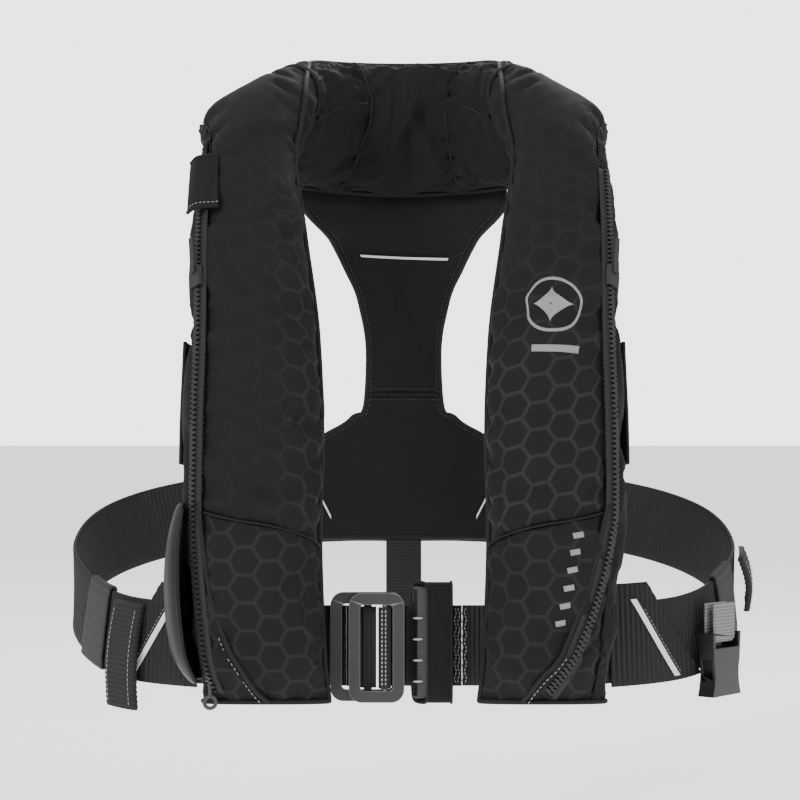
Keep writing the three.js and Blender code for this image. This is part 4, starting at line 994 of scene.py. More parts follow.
def tube(name, line, radius, material, body=ROOT, sides=8, closed=False):
    """A round tube along a line of points, radius in millimetres."""
    line = np.asarray(line, float)
    if closed:
        along = unit(np.roll(line, -1, 0) - np.roll(line, 1, 0))
    else:
        along = unit(np.gradient(line, axis=0))
    side = np.zeros_like(along)
    side[0] = unit(np.cross(along[0], np.eye(3)[np.argmin(np.abs(along[0]))]))
    for i in range(1, len(line)):
        side[i] = unit(side[i - 1] - along[i] * np.dot(side[i - 1], along[i]))
    up = np.cross(side, along)
    angle = np.linspace(0, math.tau, sides, endpoint=False)[None, :, None]
    ring = line[:, None] + radius * MM * (np.cos(angle) * side[:, None] + np.sin(angle) * up[:, None])
    faces = grid_faces(len(line), sides, wrap=True)
    if closed:
        last = (len(line) - 1) * sides
        faces += [(last + j, last + (j + 1) % sides, (j + 1) % sides, j) for j in range(sides)]
    else:
        first_row = tuple(range(sides))[::-1]
        last_row = tuple(range((len(line) - 1) * sides, len(line) * sides))
        faces += [first_row, last_row]
    pipe = new_object(name, ring.reshape(-1, 3), faces)
    outward_normals(pipe)
    run = lengths(ring, 0)
    write_uv(pipe, np.stack([run, 0 * run + angle[..., 0] * radius * MM], -1).reshape(-1, 2))
    return finish_piece(pipe, material, body)


print("repeat groups:", STITCHES[0].name, TEETH[0].name)

# %% [markdown]
# The zips run up the outer edges of the lobes. Low down each one curls inwards to the hem beside a piped
# flap, and the left one curls further. At its top the right zip disappears under a small cloth garage.

# %% Zips, piping and seams
ZIP_LINES = {
    "right": ([0.25, 0.8, 1.3, 2.1, 3.0, 4.4, 5.0, 5.6], [47, 41, 39, 37, 37, 37, 37, 37]),
    "left": ([0.25, 0.6, 1.1, 1.5, 2.0, 2.5, 3.4, 4.5, 5.6], [89, 83, 70, 57, 44, 38, 37, 37, 37]),
}
PIPING_LINES = {
    "right": ([2.33, 1.91, 1.61, 1.38, 1.16, 0.78, 0.23, 0.03],
              [44.5, 50.6, 54.1, 59.8, 66.8, 77.7, 87.2, 91.2]),
    "left": ([2.31, 1.97, 1.57, 1.27, 0.77, 0.51, 0.22, 0.03],
             [47.6, 57.3, 66.3, 76.7, 89.2, 94.9, 100.4, 104]),
}
for side in ("right", "left"):
    zip_line, zip_out = line_on_roll(*ZIP_LINES[side], 1.6, 260, side)
    band = np.linspace(-6.5, 6.5, 7)
    across = unit(np.cross(zip_out, unit(np.gradient(zip_line, axis=0))))
    tape = zip_line[:, None] + across[:, None] * (band * MM)[None, :, None]
    tape = tape - zip_out[:, None] * (np.abs(band) ** 2 * 0.03 * MM)[None, :, None]
    zip_tape = cloth_grid(f"zip_tape_{side}", tape, 0.8 * MM)
    outward_normals(zip_tape)
    finish_piece(zip_tape, NARROW_WEBBING, ROOT, [f"zip_{side}"])
    for offset in (-1.1, 1.1):
        row_line = zip_line + across * (offset * MM) + zip_out * (0.7 * MM)
        points, along = spaced(row_line, 3.1 * MM)
        shift = along * (0.75 * MM if offset > 0 else 0)
        near = [int(np.argmin(np.sum((row_line - p) ** 2, 1))) for p in points]
        row_of(f"zip_teeth_{side}_{'outer' if offset > 0 else 'inner'}", TEETH, points + shift,
               (along, zip_out[near]), (1.6, 3.0, 1.9), ZIP_PLASTIC, ROOT)
    flap, flap_out = line_on_roll(*PIPING_LINES[side], 1.5, 120, side)
    tube(f"flap_piping_{side}", flap, 1.5, PIPING)
    beside = np.cross(flap_out, unit(np.gradient(flap, axis=0)))
    outside = -1 if beside[60][0] * (-1 if side == "right" else 1) < 0 else 1
    sewn = flap + beside * outside * 3.6 * MM - flap_out * 0.2 * MM
    stitch_row(f"flap_stitches_{side}", sewn, flap_out, LIGHT_THREAD, size=(2.2, 0.45, 0.4))
    seam_turns = np.linspace(44, 178, 60)
    seam, _ = line_on_roll(lower_seam(seam_turns), seam_turns, -0.2, 160, side)
    tube(f"lower_seam_piping_{side}", seam, 0.8, PIPING)
    edge, edge_out = line_on_roll([7.2, 6.2, 5.2, 4.3, 3.4, 2.7, 2.4],
                                  [44, 48, 50, 49, 49, 49, 49], 1.2, 200, side)
    stitch_row(f"zip_flap_stitches_{side}", edge, edge_out, DARK_THREAD, size=(2.4, 0.5, 0.4))
    inner, _ = line_on_roll([0.03, 1, 2, 3, 4, 5, 6, 7, COLLAR_START], [180] * 9, -0.7, 300, side)
    tube(f"inner_edge_piping_{side}", inner, 1.9, PIPING)
    hem_turns = np.linspace(-170, 178, 120)
    hem, _ = line_on_roll(0 * hem_turns + 0.02, hem_turns, -0.3, 200, side)
    tube(f"hem_binding_{side}", hem, 1.6, PIPING)
for index in range(4):
    whole = index in (0, 3)
    seam_turns = np.linspace(0, 360, 180, endpoint=False) if whole else np.linspace(-2, -178, 90)
    seam = on_roll(seam_at(index, seam_turns), seam_turns, -0.3 if whole else 0.4)
    tube(f"collar_seam_piping_{index}", seam, 2.2 if whole else 1.2, PIPING,
         closed=whole)
for index in (0, 2):
    stations = np.linspace(SEAMS[index] + 0.3, SEAMS[index + 1] + (0.25 if index == 0 else -0.1), 120)
    stations = stations - (0.1 if index else 0)
    tuck = on_roll(stations, np.full(120, -104.0), 5.6)
    tuck_out = unit(on_roll(stations, np.full(120, -104.0), 8.0) - tuck)
    stitch_row(f"collar_stitches_{index}", tuck, tuck_out, DARK_THREAD)
for index, turn in enumerate((-180.0, 0.0)):
    rim = on_roll(np.linspace(COLLAR_START, LAST - COLLAR_START, 260), np.full(260, turn), -0.3)
    tube(f"collar_rim_piping_{index}", rim, 1.8, PIPING)
print("zips and piping made")

# %% [markdown]
# Hard parts keep the exact form of the frame. A copy of the CAD mesh gets rounded edges, and where an
# edge was rounded the copy remembers it, so that the alloy gets a painted highlight along its edges.

# %% Rounded hard parts
def rounded_copy(name, node, width, material, body, segments=3, angle=32):
    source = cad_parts[node]
    part = bpy.data.objects.new(name, source.data.copy())
    bpy.context.collection.objects.link(part)
    shape = bmesh.new()
    shape.from_mesh(part.data)
    bmesh.ops.remove_doubles(shape, verts=shape.verts, dist=1e-6)
    bmesh.ops.dissolve_limit(shape, angle_limit=math.radians(1), verts=shape.verts, edges=shape.edges)
    sharp = [e for e in shape.edges if len(e.link_faces) == 2 and e.calc_face_angle(0) > math.radians(angle)]
    bmesh.ops.bevel(shape, geom=sharp, offset=width * MM, segments=segments, affect="EDGES", profile=0.5,
                    clamp_overlap=True)
    large = [f for f in shape.faces if f.calc_area() > 12 * MM * MM]
    bmesh.ops.inset_individual(shape, faces=large, thickness=0.3 * MM, use_even_offset=True)
    bmesh.ops.triangulate(shape, faces=[f for f in shape.faces if len(f.verts) > 4])
    bmesh.ops.recalc_face_normals(shape, faces=shape.faces)
    # How sharp the mesh is at each point; the alloy paints its edge highlight from this.
    edge_highlight = [min(1.0, max([e.calc_face_angle(0) for e in v.link_edges if len(e.link_faces) == 2] + [0])
                / math.radians(20)) for v in shape.verts]
    shape.to_mesh(part.data)
    shape.free()
    write_attribute(part, "painted_edge_highlight", np.array(edge_highlight) ** 2 * 0.7)
    part.data.materials.clear()
    part.data.materials.append(material)
    part.data.shade_smooth()
    part.data.set_sharp_from_angle(angle=math.radians(50))
    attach(part, body)
    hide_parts(node)
    return part


rounded_copy("buckle_rear", "buckle_frame_rear", 1.1, ALLOY, ROOT)
rounded_copy("buckle_front", "buckle_frame_front", 1.1, ALLOY, "front_frame")
rounded_copy("clip_socket", "side_release_socket", 1.1, GLOSS_BLACK, "side_clip")
rounded_copy("slider_right", "zip_slider_right", 0.6, ZIP_PLASTIC, "right_zip_slider")
rounded_copy("slider_left", "zip_slider_left", 0.6, ZIP_PLASTIC, "left_zip_slider")
rounded_copy("inflator", "inflator_body", 1.2, GLOSS_BLACK, ROOT)
rounded_copy("lever_plate", "firing_lever", 0.5, SIGNAL_RED, "lever")
rounded_copy("whistle_body", "whistle", 0.8, SIGNAL_RED, ROOT)
rounded_copy("light_case", "light_body", 1.2, GLOSS_BLACK, ROOT)
for node, material in (("gas_cylinder", STEEL), ("sensing_cap", GLOSS_BLACK), ("lever_pin", STEEL),
                       ("oral_tube", BLADDER_CLOTH), ("oral_valve", SIGNAL_RED), ("oral_cap", GLOSS_BLACK),
                       ("light_lens", LENS_PLASTIC), ("bladder", BLADDER_CLOTH)):
    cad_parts[node].data.materials.clear()
    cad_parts[node].data.materials.append(material)
print("hard parts made")

# %% [markdown]
# ## The belt
# The waist belt is 50 mm webbing. It starts at the buckle, passes behind the lobes and rises to the small
# of the back. Webbing is thick, with a real rib across it, so each strap here is a closed strip whose
# faces go up and down with the weave. One function lays a point on the belt, and all that touches it
# uses the same function.

# %% The belt's line
BELT_POINTS = [  # across, forward and height of the right half, in millimetres
    (-35.9, -101.0, -318.0), (-80.4, -100.0, -318.0), (-134.6, -91.8, -317.2), (-177.9, -67.3, -314.0),
    (-201.8, -37.7, -305.2), (-215.9, -6.1, -290.8), (-214.8, 28.6, -276.4), (-202.9, 58.3, -264.4),
    (-182.3, 82.1, -255.6), (-151.9, 100.0, -248.4), (-97.7, 114.2, -241.2), (-43.4, 119.0, -238.0),
    (0.0, 119.0, -238.0),
]
WEBBING = 50.0
WEBBING_THICKNESS = 1.8
_line = through(BELT_POINTS, np.linspace(0, 1, 1600))
_run = np.insert(np.cumsum(np.linalg.norm(np.diff(_line, axis=0), axis=1)), 0, 0)
BELT_LENGTH = float(_run[-1])


def on_belt(share, height, out, side="right"):
    """Points on the belt in metres: share along it from buckle to back, height and out in millimetres."""
    share, height, out = np.broadcast_arrays(np.asarray(share, float), height, out)

    def line_at(mark):
        mark = np.clip(mark, 0, 1) * BELT_LENGTH
        return np.stack([np.interp(mark, _run, _line[:, i]) for i in range(3)], -1)

    along = unit(line_at(share + 0.004) - line_at(share - 0.004))
    upright = np.array([0, 0, 1.0]) - along * along[..., 2:]
    upright = unit(upright)
    outward = np.cross(upright, along)
    middle = line_at(share)
    away = np.sum(outward[..., :2] * middle[..., :2], -1, keepdims=True)
    outward = outward * np.where(away < 0, -1, 1)
    point = (middle + upright * height[..., None] + outward * out[..., None]) * MM
    return point if side == "right" else point * np.array([-1, 1, 1])


def strap(name, place, length, width, thickness, material, body, nodes=(), rib=2.0, relief=0.28,
          samples=4, inner=0.0):
    """A closed strap. place(share, height, out) gives its points; ribs cross it every rib millimetres."""
    rows = max(12, int(length / rib * samples)) if rib else 60
    share = np.linspace(0, 1, rows)[:, None]
    face = np.linspace(-width / 2 + 0.5, width / 2 - 0.5, 9)
    half = thickness / 2
    heights = np.concatenate([face, [width / 2 - 0.1, width / 2, width / 2 - 0.1], face[::-1],
                              [-width / 2 + 0.1, -width / 2, -width / 2 + 0.1]])
    outs = np.concatenate([0 * face + half, [half * 0.6, 0, -half * 0.6], 0 * face - half,
                           [-half * 0.6, 0, half * 0.6]])
    wave = np.sin(share * length / rib * math.tau) if rib else 0 * share
    outs_now = outs[None, :] * (1 + wave * relief / half) + inner + half
    points = place(share, heights[None, :] + 0 * share, outs_now + 0 * share)
    count = len(heights)
    faces = grid_faces(rows, count, wrap=True)
    faces += [tuple(range(count)), tuple(range((rows - 1) * count, rows * count))[::-1]]
    band = new_object(name, points.reshape(-1, 3), faces)
    outward_normals(band)
    uv = np.stack([share * length * MM + 0 * outs_now, heights[None, :] * MM + 0 * outs_now], -1)
    write_uv(band, uv.reshape(-1, 2))
    return finish_piece(band, material, body, nodes)


BACK_JOIN = 0.9985
for side in ("right", "left"):
    strap(f"waist_belt_{side}", lambda s, h, o, side=side: on_belt(s * BACK_JOIN, h, o, side),
          BELT_LENGTH, WEBBING, WEBBING_THICKNESS, BELT_WEBBING, ROOT, [f"belt_{side}"], rib=3.0)


def on_whole_belt(position, height, out):
    right = on_belt(np.minimum(position, 1), height, out)
    left = on_belt(np.minimum(2 - position, 1), height, out, "left")
    return np.where((position <= 1)[..., None], right, left)


strap("back_sleeve", lambda s, h, o: on_whole_belt(1 + (2 * s - 1) * 0.13 + 0 * h, h, o), BELT_LENGTH * 0.26,
      58, 1.2, PANEL_CLOTH, ROOT, ["back_belt_sleeve"], rib=0, inner=2.8)
print("belt length each side:", round(BELT_LENGTH), "mm")

# %% [markdown]
# Two elastic keepers hold the belt's spare webbing. Each is a band that goes right round the belt.

# %% Keepers, webbing ends and gussets
def keeper(name, side, share, body, node, material, length=26):
    rows, ring = 15, 64
    angle = np.linspace(0, math.tau, ring, endpoint=False)[None, :]
    half_height, half_out = WEBBING / 2 + 2.5, WEBBING_THICKNESS / 2 + 2.4
    c, s = np.cos(angle), np.sin(angle)
    height = np.sign(c) * np.abs(c) ** 0.16 * half_height
    out = np.sign(s) * np.abs(s) ** 0.45 * half_out + WEBBING_THICKNESS / 2
    along = np.linspace(-0.5, 0.5, rows)[:, None]
    pinch = 0.25 * np.sin(angle * 9) * (np.abs(along) * 2)
    points = on_belt(share + along * length / BELT_LENGTH + 0 * angle, height + 0 * along, out + pinch, side)
    band = new_object(name, points.reshape(-1, 3), grid_faces(rows, ring, wrap=True))
    outward_normals(band)
    around = np.cumsum(np.linalg.norm(np.diff(points, axis=1, append=points[:, :1]), axis=-1), 1)
    write_uv(band, np.stack([around, along * length * MM + 0 * angle], -1).reshape(-1, 2))
    wall = band.modifiers.new("wall", "SOLIDIFY")
    wall.thickness = 1.4 * MM
    wall.offset = -1
    return finish_piece(band, material, body, [node])


keeper("keeper_band_right", "right", 0.338, "right_keeper", "keeper_right", ELASTIC)
keeper("keeper_band_left", "left", 0.385, "left_keeper", "keeper_left", ELASTIC)


def hanging_end(name, side, share, length, width, turn_out, node):
    """A folded webbing end: it leaves the belt's outer face near the top and hangs down."""
    def place(s, h, o):
        start = on_belt(share + h / BELT_LENGTH, 22.0, 4.8, side)
        flat = start * np.array([1, 1, 0])
        away = flat / np.linalg.norm(flat, axis=-1, keepdims=True)
        drop = (3 * np.sin(s * math.pi) + s * turn_out + o)[..., None] * MM
        return start + away * drop - np.array([0, 0, 1.0]) * (s * length * MM)[..., None]
    strap(name, place, length, width, 3.4, BELT_WEBBING, ROOT, [node], rib=3.0)
    share_line = np.linspace(0.06, 0.97, 40)
    for edge in (-1, 1):
        row = place(share_line, edge * (width / 2 - 3.0) + 0 * share_line, 4.1 + 0 * share_line)
        out = unit(row * np.array([1, 1, 0]))
        stitch_row(f"{name}_stitches_{'near' if edge < 0 else 'far'}", row, out, LIGHT_THREAD, 3.0,
                   (2.3, 0.5, 0.4))


hanging_end("belt_end_right", "right", 0.268, 66, 24, 5, "webbing_end_right")
hanging_end("belt_end_left", "left", 0.452, 34, 20, 4, "webbing_end_left")


def gusset(side):
    u = np.linspace(0, 1, 50)[:, None]
    v = np.linspace(0, 1, 60)[None, :]
    spread = mix(0.175, mix(0.225, 0.30, u), v)
    rib = 0.35 * np.sin(spread * BELT_LENGTH / 3.4 * math.tau)
    points = on_belt(spread, mix(37, -27, u) + 0 * v, 4.4 + rib, side)
    uv = np.stack([spread * BELT_LENGTH * MM, mix(37, -27, u) * MM + 0 * v], -1)
    sheet = cloth_grid(f"gusset_panel_{side}", points, 1.2 * MM, uv)
    outward_normals(sheet)
    finish_piece(sheet, RIBBED_BAND, ROOT, [f"gusset_{side}"])
    s = np.linspace(0.12, 0.95, 40)
    place = lambda t, h, o: on_belt(mix(0.205, 0.262, t) + h / BELT_LENGTH, mix(27, -24, t), o + 4.7, side)
    strap(f"gusset_reflective_{side}", place, 55, 4.2, 0.6, REFLECTIVE, ROOT, rib=0)
    row = on_belt(mix(0.205, 0.262, s) + 3.6 / BELT_LENGTH, mix(27, -24, s), 5.2, side)
    stitch_row(f"gusset_stitches_{side}", row, unit(row * np.array([1, 1, 0])), LIGHT_THREAD, 2.8,
               (2.0, 0.4, 0.3))


for side in ("right", "left"):
    gusset(side)
print("keepers, webbing ends and gussets made")

# %% [markdown]
# ## Buckle webbing, sleeve and clip
# The right webbing goes behind the rear frame and over its middle bar; the left webbing comes through the
# rear frame and wraps the hanging bar of the front frame. Beside the buckle sits a soft sleeve with a
# grey lining, where the belt's spare end is tucked away.

# %% Buckle webbing
FRONT_HEIGHT, BELT_MIDDLE_REACH = -318.0, -102.9
TO_FRONT = [[0, -1.0, 0]]


def front_strap(name, plan, node, rib=3.0):
    plan = np.array([(x, y, 0.0) for x, y in plan])
    line = through(plan, np.linspace(0, 1, 500))
    run = np.insert(np.cumsum(np.linalg.norm(np.diff(line, axis=0), axis=1)), 0, 0)

    def place(s, h, o):
        mark = s * run[-1] + 0 * h
        point = np.stack([np.interp(mark, run, line[:, i]) for i in range(3)], -1)
        ahead = np.stack([np.interp(np.minimum(mark + 0.3, run[-1]), run, line[:, i]) for i in range(3)], -1)
        behind = np.stack([np.interp(np.maximum(mark - 0.3, 0), run, line[:, i]) for i in range(3)], -1)
        along = unit(ahead - behind)
        out = np.stack([along[..., 1], -along[..., 0], 0 * along[..., 0]], -1)
        lift = out * (o - WEBBING_THICKNESS / 2)[..., None]
        return (point + lift + np.stack([0 * h, 0 * h, FRONT_HEIGHT + h], -1)) * MM
    strap(name, place, float(run[-1]), WEBBING, WEBBING_THICKNESS, BELT_WEBBING, ROOT, [node],
          rib=rib, relief=0.3)


front_strap("webbing_over_bar", [(-35.6, -102.9), (-31, -104.1), (-27.9, -107.6), (-25.9, -111.7),
                                 (-21.3, -111.7), (-17.2, -111.7)], "buckle_webbing_right")
through_rear = [(35.6, -102.9), (20, -102.9), (4, -102.9), (-4, -102.9), (-9.8, -106.0), (-11, -108.2)]
round_bar = [(-12 + 2.8 * math.cos(math.radians(t)), -116.2 + 2.8 * math.sin(math.radians(t)))
             for t in range(50, -211, -30)]
front_strap("webbing_to_front_frame", through_rear + round_bar, "buckle_webbing_left")
seam_heights = np.linspace(-23, 23, 60)
for index, x in enumerate((-11.4, -13.6)):
    row = np.stack([0 * seam_heights + x, 0 * seam_heights - 120.1, seam_heights + FRONT_HEIGHT], 1) * MM
    stitch_row(f"hanging_stitches_{index}", row, np.tile(TO_FRONT, (60, 1)), LIGHT_THREAD, 2.6,
               (1.7, 0.8, 0.6))
for index in range(4):
    wave = 0.5 * np.sin(seam_heights * 0.7 + index)
    row = np.stack([31.6 + index * 2.1 + wave, 0 * wave - 104.1, seam_heights + FRONT_HEIGHT], 1) * MM
    stitch_row(f"sewn_webbing_stitches_{index}", row, np.tile(TO_FRONT, (60, 1)), LIGHT_THREAD, 2.4,
               (2.0, 0.55, 0.5))
print("buckle webbing made")

# %% [markdown]
# The sleeve is a short soft tube round the webbing. Its front edge is cut back, its lining shows inside,
# and four bar tacks hold it.

# %% Sleeve beside the buckle
SLEEVE_HEIGHT = -316.0


def sleeve(name, node, half_height, half_depth, front_start, back_start, end, wall, material, seed):
    rows, ring = 36, 96
    angle = np.linspace(0, math.tau, ring, endpoint=False)[None, :]
    c, s = np.cos(angle), np.sin(angle)
    height = np.sign(c) * np.abs(c) ** 0.42 * half_height
    depth = -np.sign(s) * np.abs(s) ** 0.6 * half_depth
    frontness = smooth(0.5 - depth / half_depth / 2)
    start = mix(back_start, front_start, frontness)
    share = np.linspace(0, 1, rows)[:, None]
    x = mix(start, end, share)
    crumple = 0.35 * value_noise(seed, x * 0.35 + 0 * angle, height * 0.11)
    ripple = crumple + 0.25 * np.sin(height * 0.35) * (1 - share)
    swell = 0.5 * np.sin(share * math.pi)
    scale = 1 + (swell + ripple) / half_depth
    points = np.stack([x + 0 * angle, BELT_MIDDLE_REACH + depth * scale,
                       SLEEVE_HEIGHT + height + 0 * x], -1) * MM
    tube_mesh = new_object(name, points.reshape(-1, 3), grid_faces(rows, ring, wrap=True))
    outward_normals(tube_mesh)
    around = np.cumsum(np.linalg.norm(np.diff(points, axis=1, append=points[:, :1]), axis=-1), 1)
    write_uv(tube_mesh, np.stack([points[..., 0], around], -1).reshape(-1, 2))
    write_attribute(tube_mesh, "print", np.zeros(rows * ring))
    thick = tube_mesh.modifiers.new("wall", "SOLIDIFY")
    thick.thickness = wall * MM
    thick.offset = -1
    finish_piece(tube_mesh, material, ROOT, [node])
    return points


outer = sleeve("sleeve_cover", "buckle_pad", 37.3, 9.3, 14.5, 4.2, 29.6, 2.0, COVER_CLOTH, 5)
sleeve("sleeve_lining", "buckle_pad_lining", 34.6, 6.9, 8.0, 5.0, 28.6, 1.4, PAD_LINING, 9)
for index, row in enumerate((outer[1], outer[-2])):
    tube(f"sleeve_binding_{index}", row, 0.9, PIPING, closed=True)
bar_heights = np.array([-300.4, -313.4, -326.4, -339.4])
bars = np.stack([0 * bar_heights + 8.4, 0 * bar_heights - 110.2, bar_heights], 1) * MM
row_of("sleeve_bartacks", STITCHES, bars, (np.tile([[1.0, 0, 0]], (4, 1)), np.tile(TO_FRONT, (4, 1))),
       (6.6, 1.5, 1.1), LIGHT_THREAD, ROOT)
print("sleeve made")

# %% [markdown]
# Two short straps remain. One hangs the side clip from the belt, and the other is the folded crotch strap
# behind the small of the back.

# %% Clip webbing and crotch strap
CLIP_PLACE = np.array([200.73, -62.23, -316.0])
CLIP_TURN = math.radians(50)
LOOP_RADIUS = 3.2


def clip_loop(s, h, o):
    """The folded webbing that holds the clip, from one upper end round the clip's bar to the other."""
    straight = 21.0
    bend = math.pi * LOOP_RADIUS
    mark = s * (2 * straight + bend)
    angle = np.clip((mark - straight) / LOOP_RADIUS, 0, math.pi)
    past = mark - straight - bend
    up = np.where(mark < straight, straight - mark, np.where(mark > straight + bend, past, 0))
    radius = LOOP_RADIUS + o - WEBBING_THICKNESS / 2
    depth = radius * np.cos(angle)
    height = up - radius * np.sin(angle)
    x = h * math.cos(CLIP_TURN) - depth * math.sin(CLIP_TURN)
    y = h * math.sin(CLIP_TURN) + depth * math.cos(CLIP_TURN)
    return (np.stack([x + 0 * s, y + 0 * s, height + 0 * h], -1) + CLIP_PLACE) * MM


strap("clip_webbing", clip_loop, 52, 24, WEBBING_THICKNESS, GREY_WEBBING, ROOT,
      ["side_release_webbing"], rib=2.1)


def crotch(s, h, o):
    return np.stack([h + 0 * s, 109 - 10 * np.sin(s * math.pi / 2) + o, -263.5 - s * 84 + 0 * h], -1) * MM


strap("crotch_webbing", crotch, 84, 25, 3.4, NARROW_WEBBING, ROOT, ["crotch_strap"], rib=2.2)
print("clip webbing and crotch strap made")

# %% [markdown]
# ## The back panel
# A flat hourglass of dark cloth joins the collar to the belt. It is sewn in two parts, bound along its
# sides, and carries three strips of reflective tape.

# %% Back panel
BACK_OUTLINE = [(72, 0), (55, 0.09), (40, 0.2), (29.5, 0.31), (24.5, 0.46), (25.5, 0.57), (36, 0.645),
                (56, 0.7), (76, 0.76), (84, 0.85), (82, 1)]
_outline = through(np.array([(w, d, 0.0) for w, d in BACK_OUTLINE]), np.linspace(0, 1, 121))
BACK_FOOT, BACK_SEAM, BACK_REACH, BACK_TOP_GAP = -263.0, -162.0, 108.0, 2.5
NAPE_DEPTH = 72.0
BACK_TOP = float(on_roll(np.array([float(MIDDLE)]), np.array([0.0]))[0, 2] / MM - BACK_TOP_GAP)
SEAM_DOWN = (BACK_TOP - BACK_SEAM) / (BACK_TOP - BACK_FOOT)


def on_back(down, across, depth):
    """Points on the back panel in metres: down from 0 to 1, across from -1 to 1, depth towards the back."""
    down, across, depth = np.broadcast_arrays(down, across, depth)
    top = on_roll(MIDDLE + across * 1.65, 0 * across) / MM
    height = mix(top[..., 2] - BACK_TOP_GAP, BACK_FOOT, down)
    flat_height = mix(BACK_TOP, BACK_FOOT, down)
    wide = np.abs(top[..., 0] / np.maximum(np.abs(across), 0.01))
    x = across * mix(wide, np.interp(down, _outline[:, 1], _outline[:, 0]), smooth(down * 8))
    reach = mix(NAPE_DEPTH + 4, BACK_REACH, np.sin(np.minimum(down * 1.5, 1) * math.pi / 2))
    tuck = np.clip(1 - down / 0.02, 0, 1)
    y = mix(top[..., 1] + 2, reach - 0.0016 * x * x, smooth(down * 6)) + 2 * tuck
    return np.stack([x, y + depth, mix(height, flat_height, smooth(down * 4)) + 7 * tuck], -1) * MM


def back_part(name, node, low, high, seed):
    down = np.linspace(low, high, 120)[:, None]
    across = np.linspace(-1, 1, 100)[None, :]
    edge = np.minimum(1 - np.abs(across), 0.12) / 0.12
    ends = np.minimum(np.minimum(down - low, high - down), 0.03) / 0.03
    swell = 0.9 * np.sqrt(np.clip(edge * ends, 0, 1))
    broad = 0.5 * value_noise(seed, across * 5 + 0 * down, down * 22)
    ripple = broad + 0.25 * value_noise(seed + 1, across * 17, down * 60)
    points = on_back(down, across, 0.2 - swell * 0.6 + ripple * edge)
    panel = cloth_grid(name, points, 3.0 * MM)
    outward_normals(panel)
    if panel.data.polygons[0].normal.y > 0:
        panel.data.flip_normals()
    finish_piece(panel, PANEL_CLOTH, ROOT, [node])


back_part("back_upper", "back_panel_upper", 0.0, SEAM_DOWN, 201)
back_part("back_lower", "back_panel_lower", SEAM_DOWN, 1.0, 211)
for index, sign in enumerate((-1, 1)):
    side_line = on_back(np.linspace(0.02, 1, 240), np.full(240, float(sign)), 1.6)
    tube(f"back_binding_{index}", side_line, 2.4, PIPING)
    inside = on_back(np.linspace(0.05, 0.99, 240), np.full(240, sign * 0.93), -0.6)
    stitch_row(f"back_binding_stitches_{index}", inside, np.tile(TO_FRONT, (240, 1)), DARK_THREAD)
tube("back_foot_binding", on_back(np.full(120, 1.0), np.linspace(-1, 1, 120), 1.6), 2.2, PIPING)
seam_line = on_back(np.full(90, SEAM_DOWN), np.linspace(-0.97, 0.97, 90), 0.0)
tube("back_seam_piping", seam_line, 1.3, PIPING)
for offset in (-0.016, 0.016):
    stitch_line = on_back(np.full(90, SEAM_DOWN + offset), np.linspace(-0.95, 0.95, 90), -0.7)
    stitch_row(f"back_seam_stitches_{'over' if offset < 0 else 'under'}", stitch_line,
               np.tile(TO_FRONT, (90, 1)), DARK_THREAD)
rounded_copy("back_reflector", "back_reflective_line", 0.15, REFLECTIVE, ROOT, segments=1)
rounded_copy("tag_right", "reflective_tag_right", 0.15, REFLECTIVE, ROOT, segments=1)
rounded_copy("tag_left", "reflective_tag_left", 0.15, REFLECTIVE, ROOT, segments=1)
print("back panel made")

# %% [markdown]
# ## Guard, tabs, garage and pull cord
# A hard shell guards the inflator on the outer edge of the right lobe. Its vents are short slots, shown as
# flat dark ovals of painted shade. Each lobe carries a reflective tab on its side, and the pull cord ends in
# a small loop below the hem.

# %% Guard
def guard_point(u, v, lift):
    rise = 12 * np.sin(u * math.pi) ** 0.7 * (0.55 + 0.45 * np.sin(v * math.pi))
    return on_roll(mix(0.42, 2.34, u), mix(-64, 27, v), 2.4 + rise + lift)


u = np.linspace(0.004, 0.996, 90)[:, None]
v = np.linspace(0, 1, 60)[None, :]
ridge = 0.7 * np.exp(-((v - 0.72) / 0.03) ** 2) - 0.6 * np.exp(-((v - 0.62) / 0.03) ** 2)
guard_lift = 2.2 + ridge * np.sin(u * math.pi)
shell = cloth_grid("guard_shell", guard_point(u + 0 * v, v + 0 * u, guard_lift), 2.0 * MM)
faces_point_out(shell, LOBE_INSIDE["right"])
outward_normals(shell)
finish_piece(shell, GUARD_PLASTIC, ROOT, ["inflator_guard"])
rim_share = np.linspace(0.03, 0.97, 120)
tube("guard_rim", guard_point(rim_share, 1.0 + 0 * rim_share, 1.4), 1.5, GUARD_PLASTIC)
tube("guard_back_rim", guard_point(rim_share, 0 * rim_share, 1.2), 1.3, GUARD_PLASTIC)
vents = [(a, b) for a in (0.2, 0.32, 0.44, 0.62, 0.74) for b in (0.34, 0.48)] + [(0.86, 0.42), (0.12, 0.42)]
vent_u = np.array([a for a, b in vents])
vent_v = np.array([b for a, b in vents])
vent_at = guard_point(vent_u, vent_v, 2.1)
vent_out = unit(guard_point(vent_u, vent_v, 6.0) - vent_at)
vent_along = unit(guard_point(vent_u + 0.02, vent_v, 2.1) - vent_at)
# The slots are not cut: flat near-black ovals on the shell are painted shade for the inside of the holes.
VENT_SHADE = moulded_plastic("vent_painted_shade", (0.0015, 0.0015, 0.0015), 0.8)
row_of("guard_vents", STITCHES, vent_at, (vent_along, vent_out), (7.5, 3.6, 0.7), VENT_SHADE, ROOT)
print("guard with", len(vents), "vents")


# %% [markdown]
# Tabs, underlaps and the zip garage are all patches of cloth laid on the roll's skin, so one function
# makes them from a range of stations and turns.

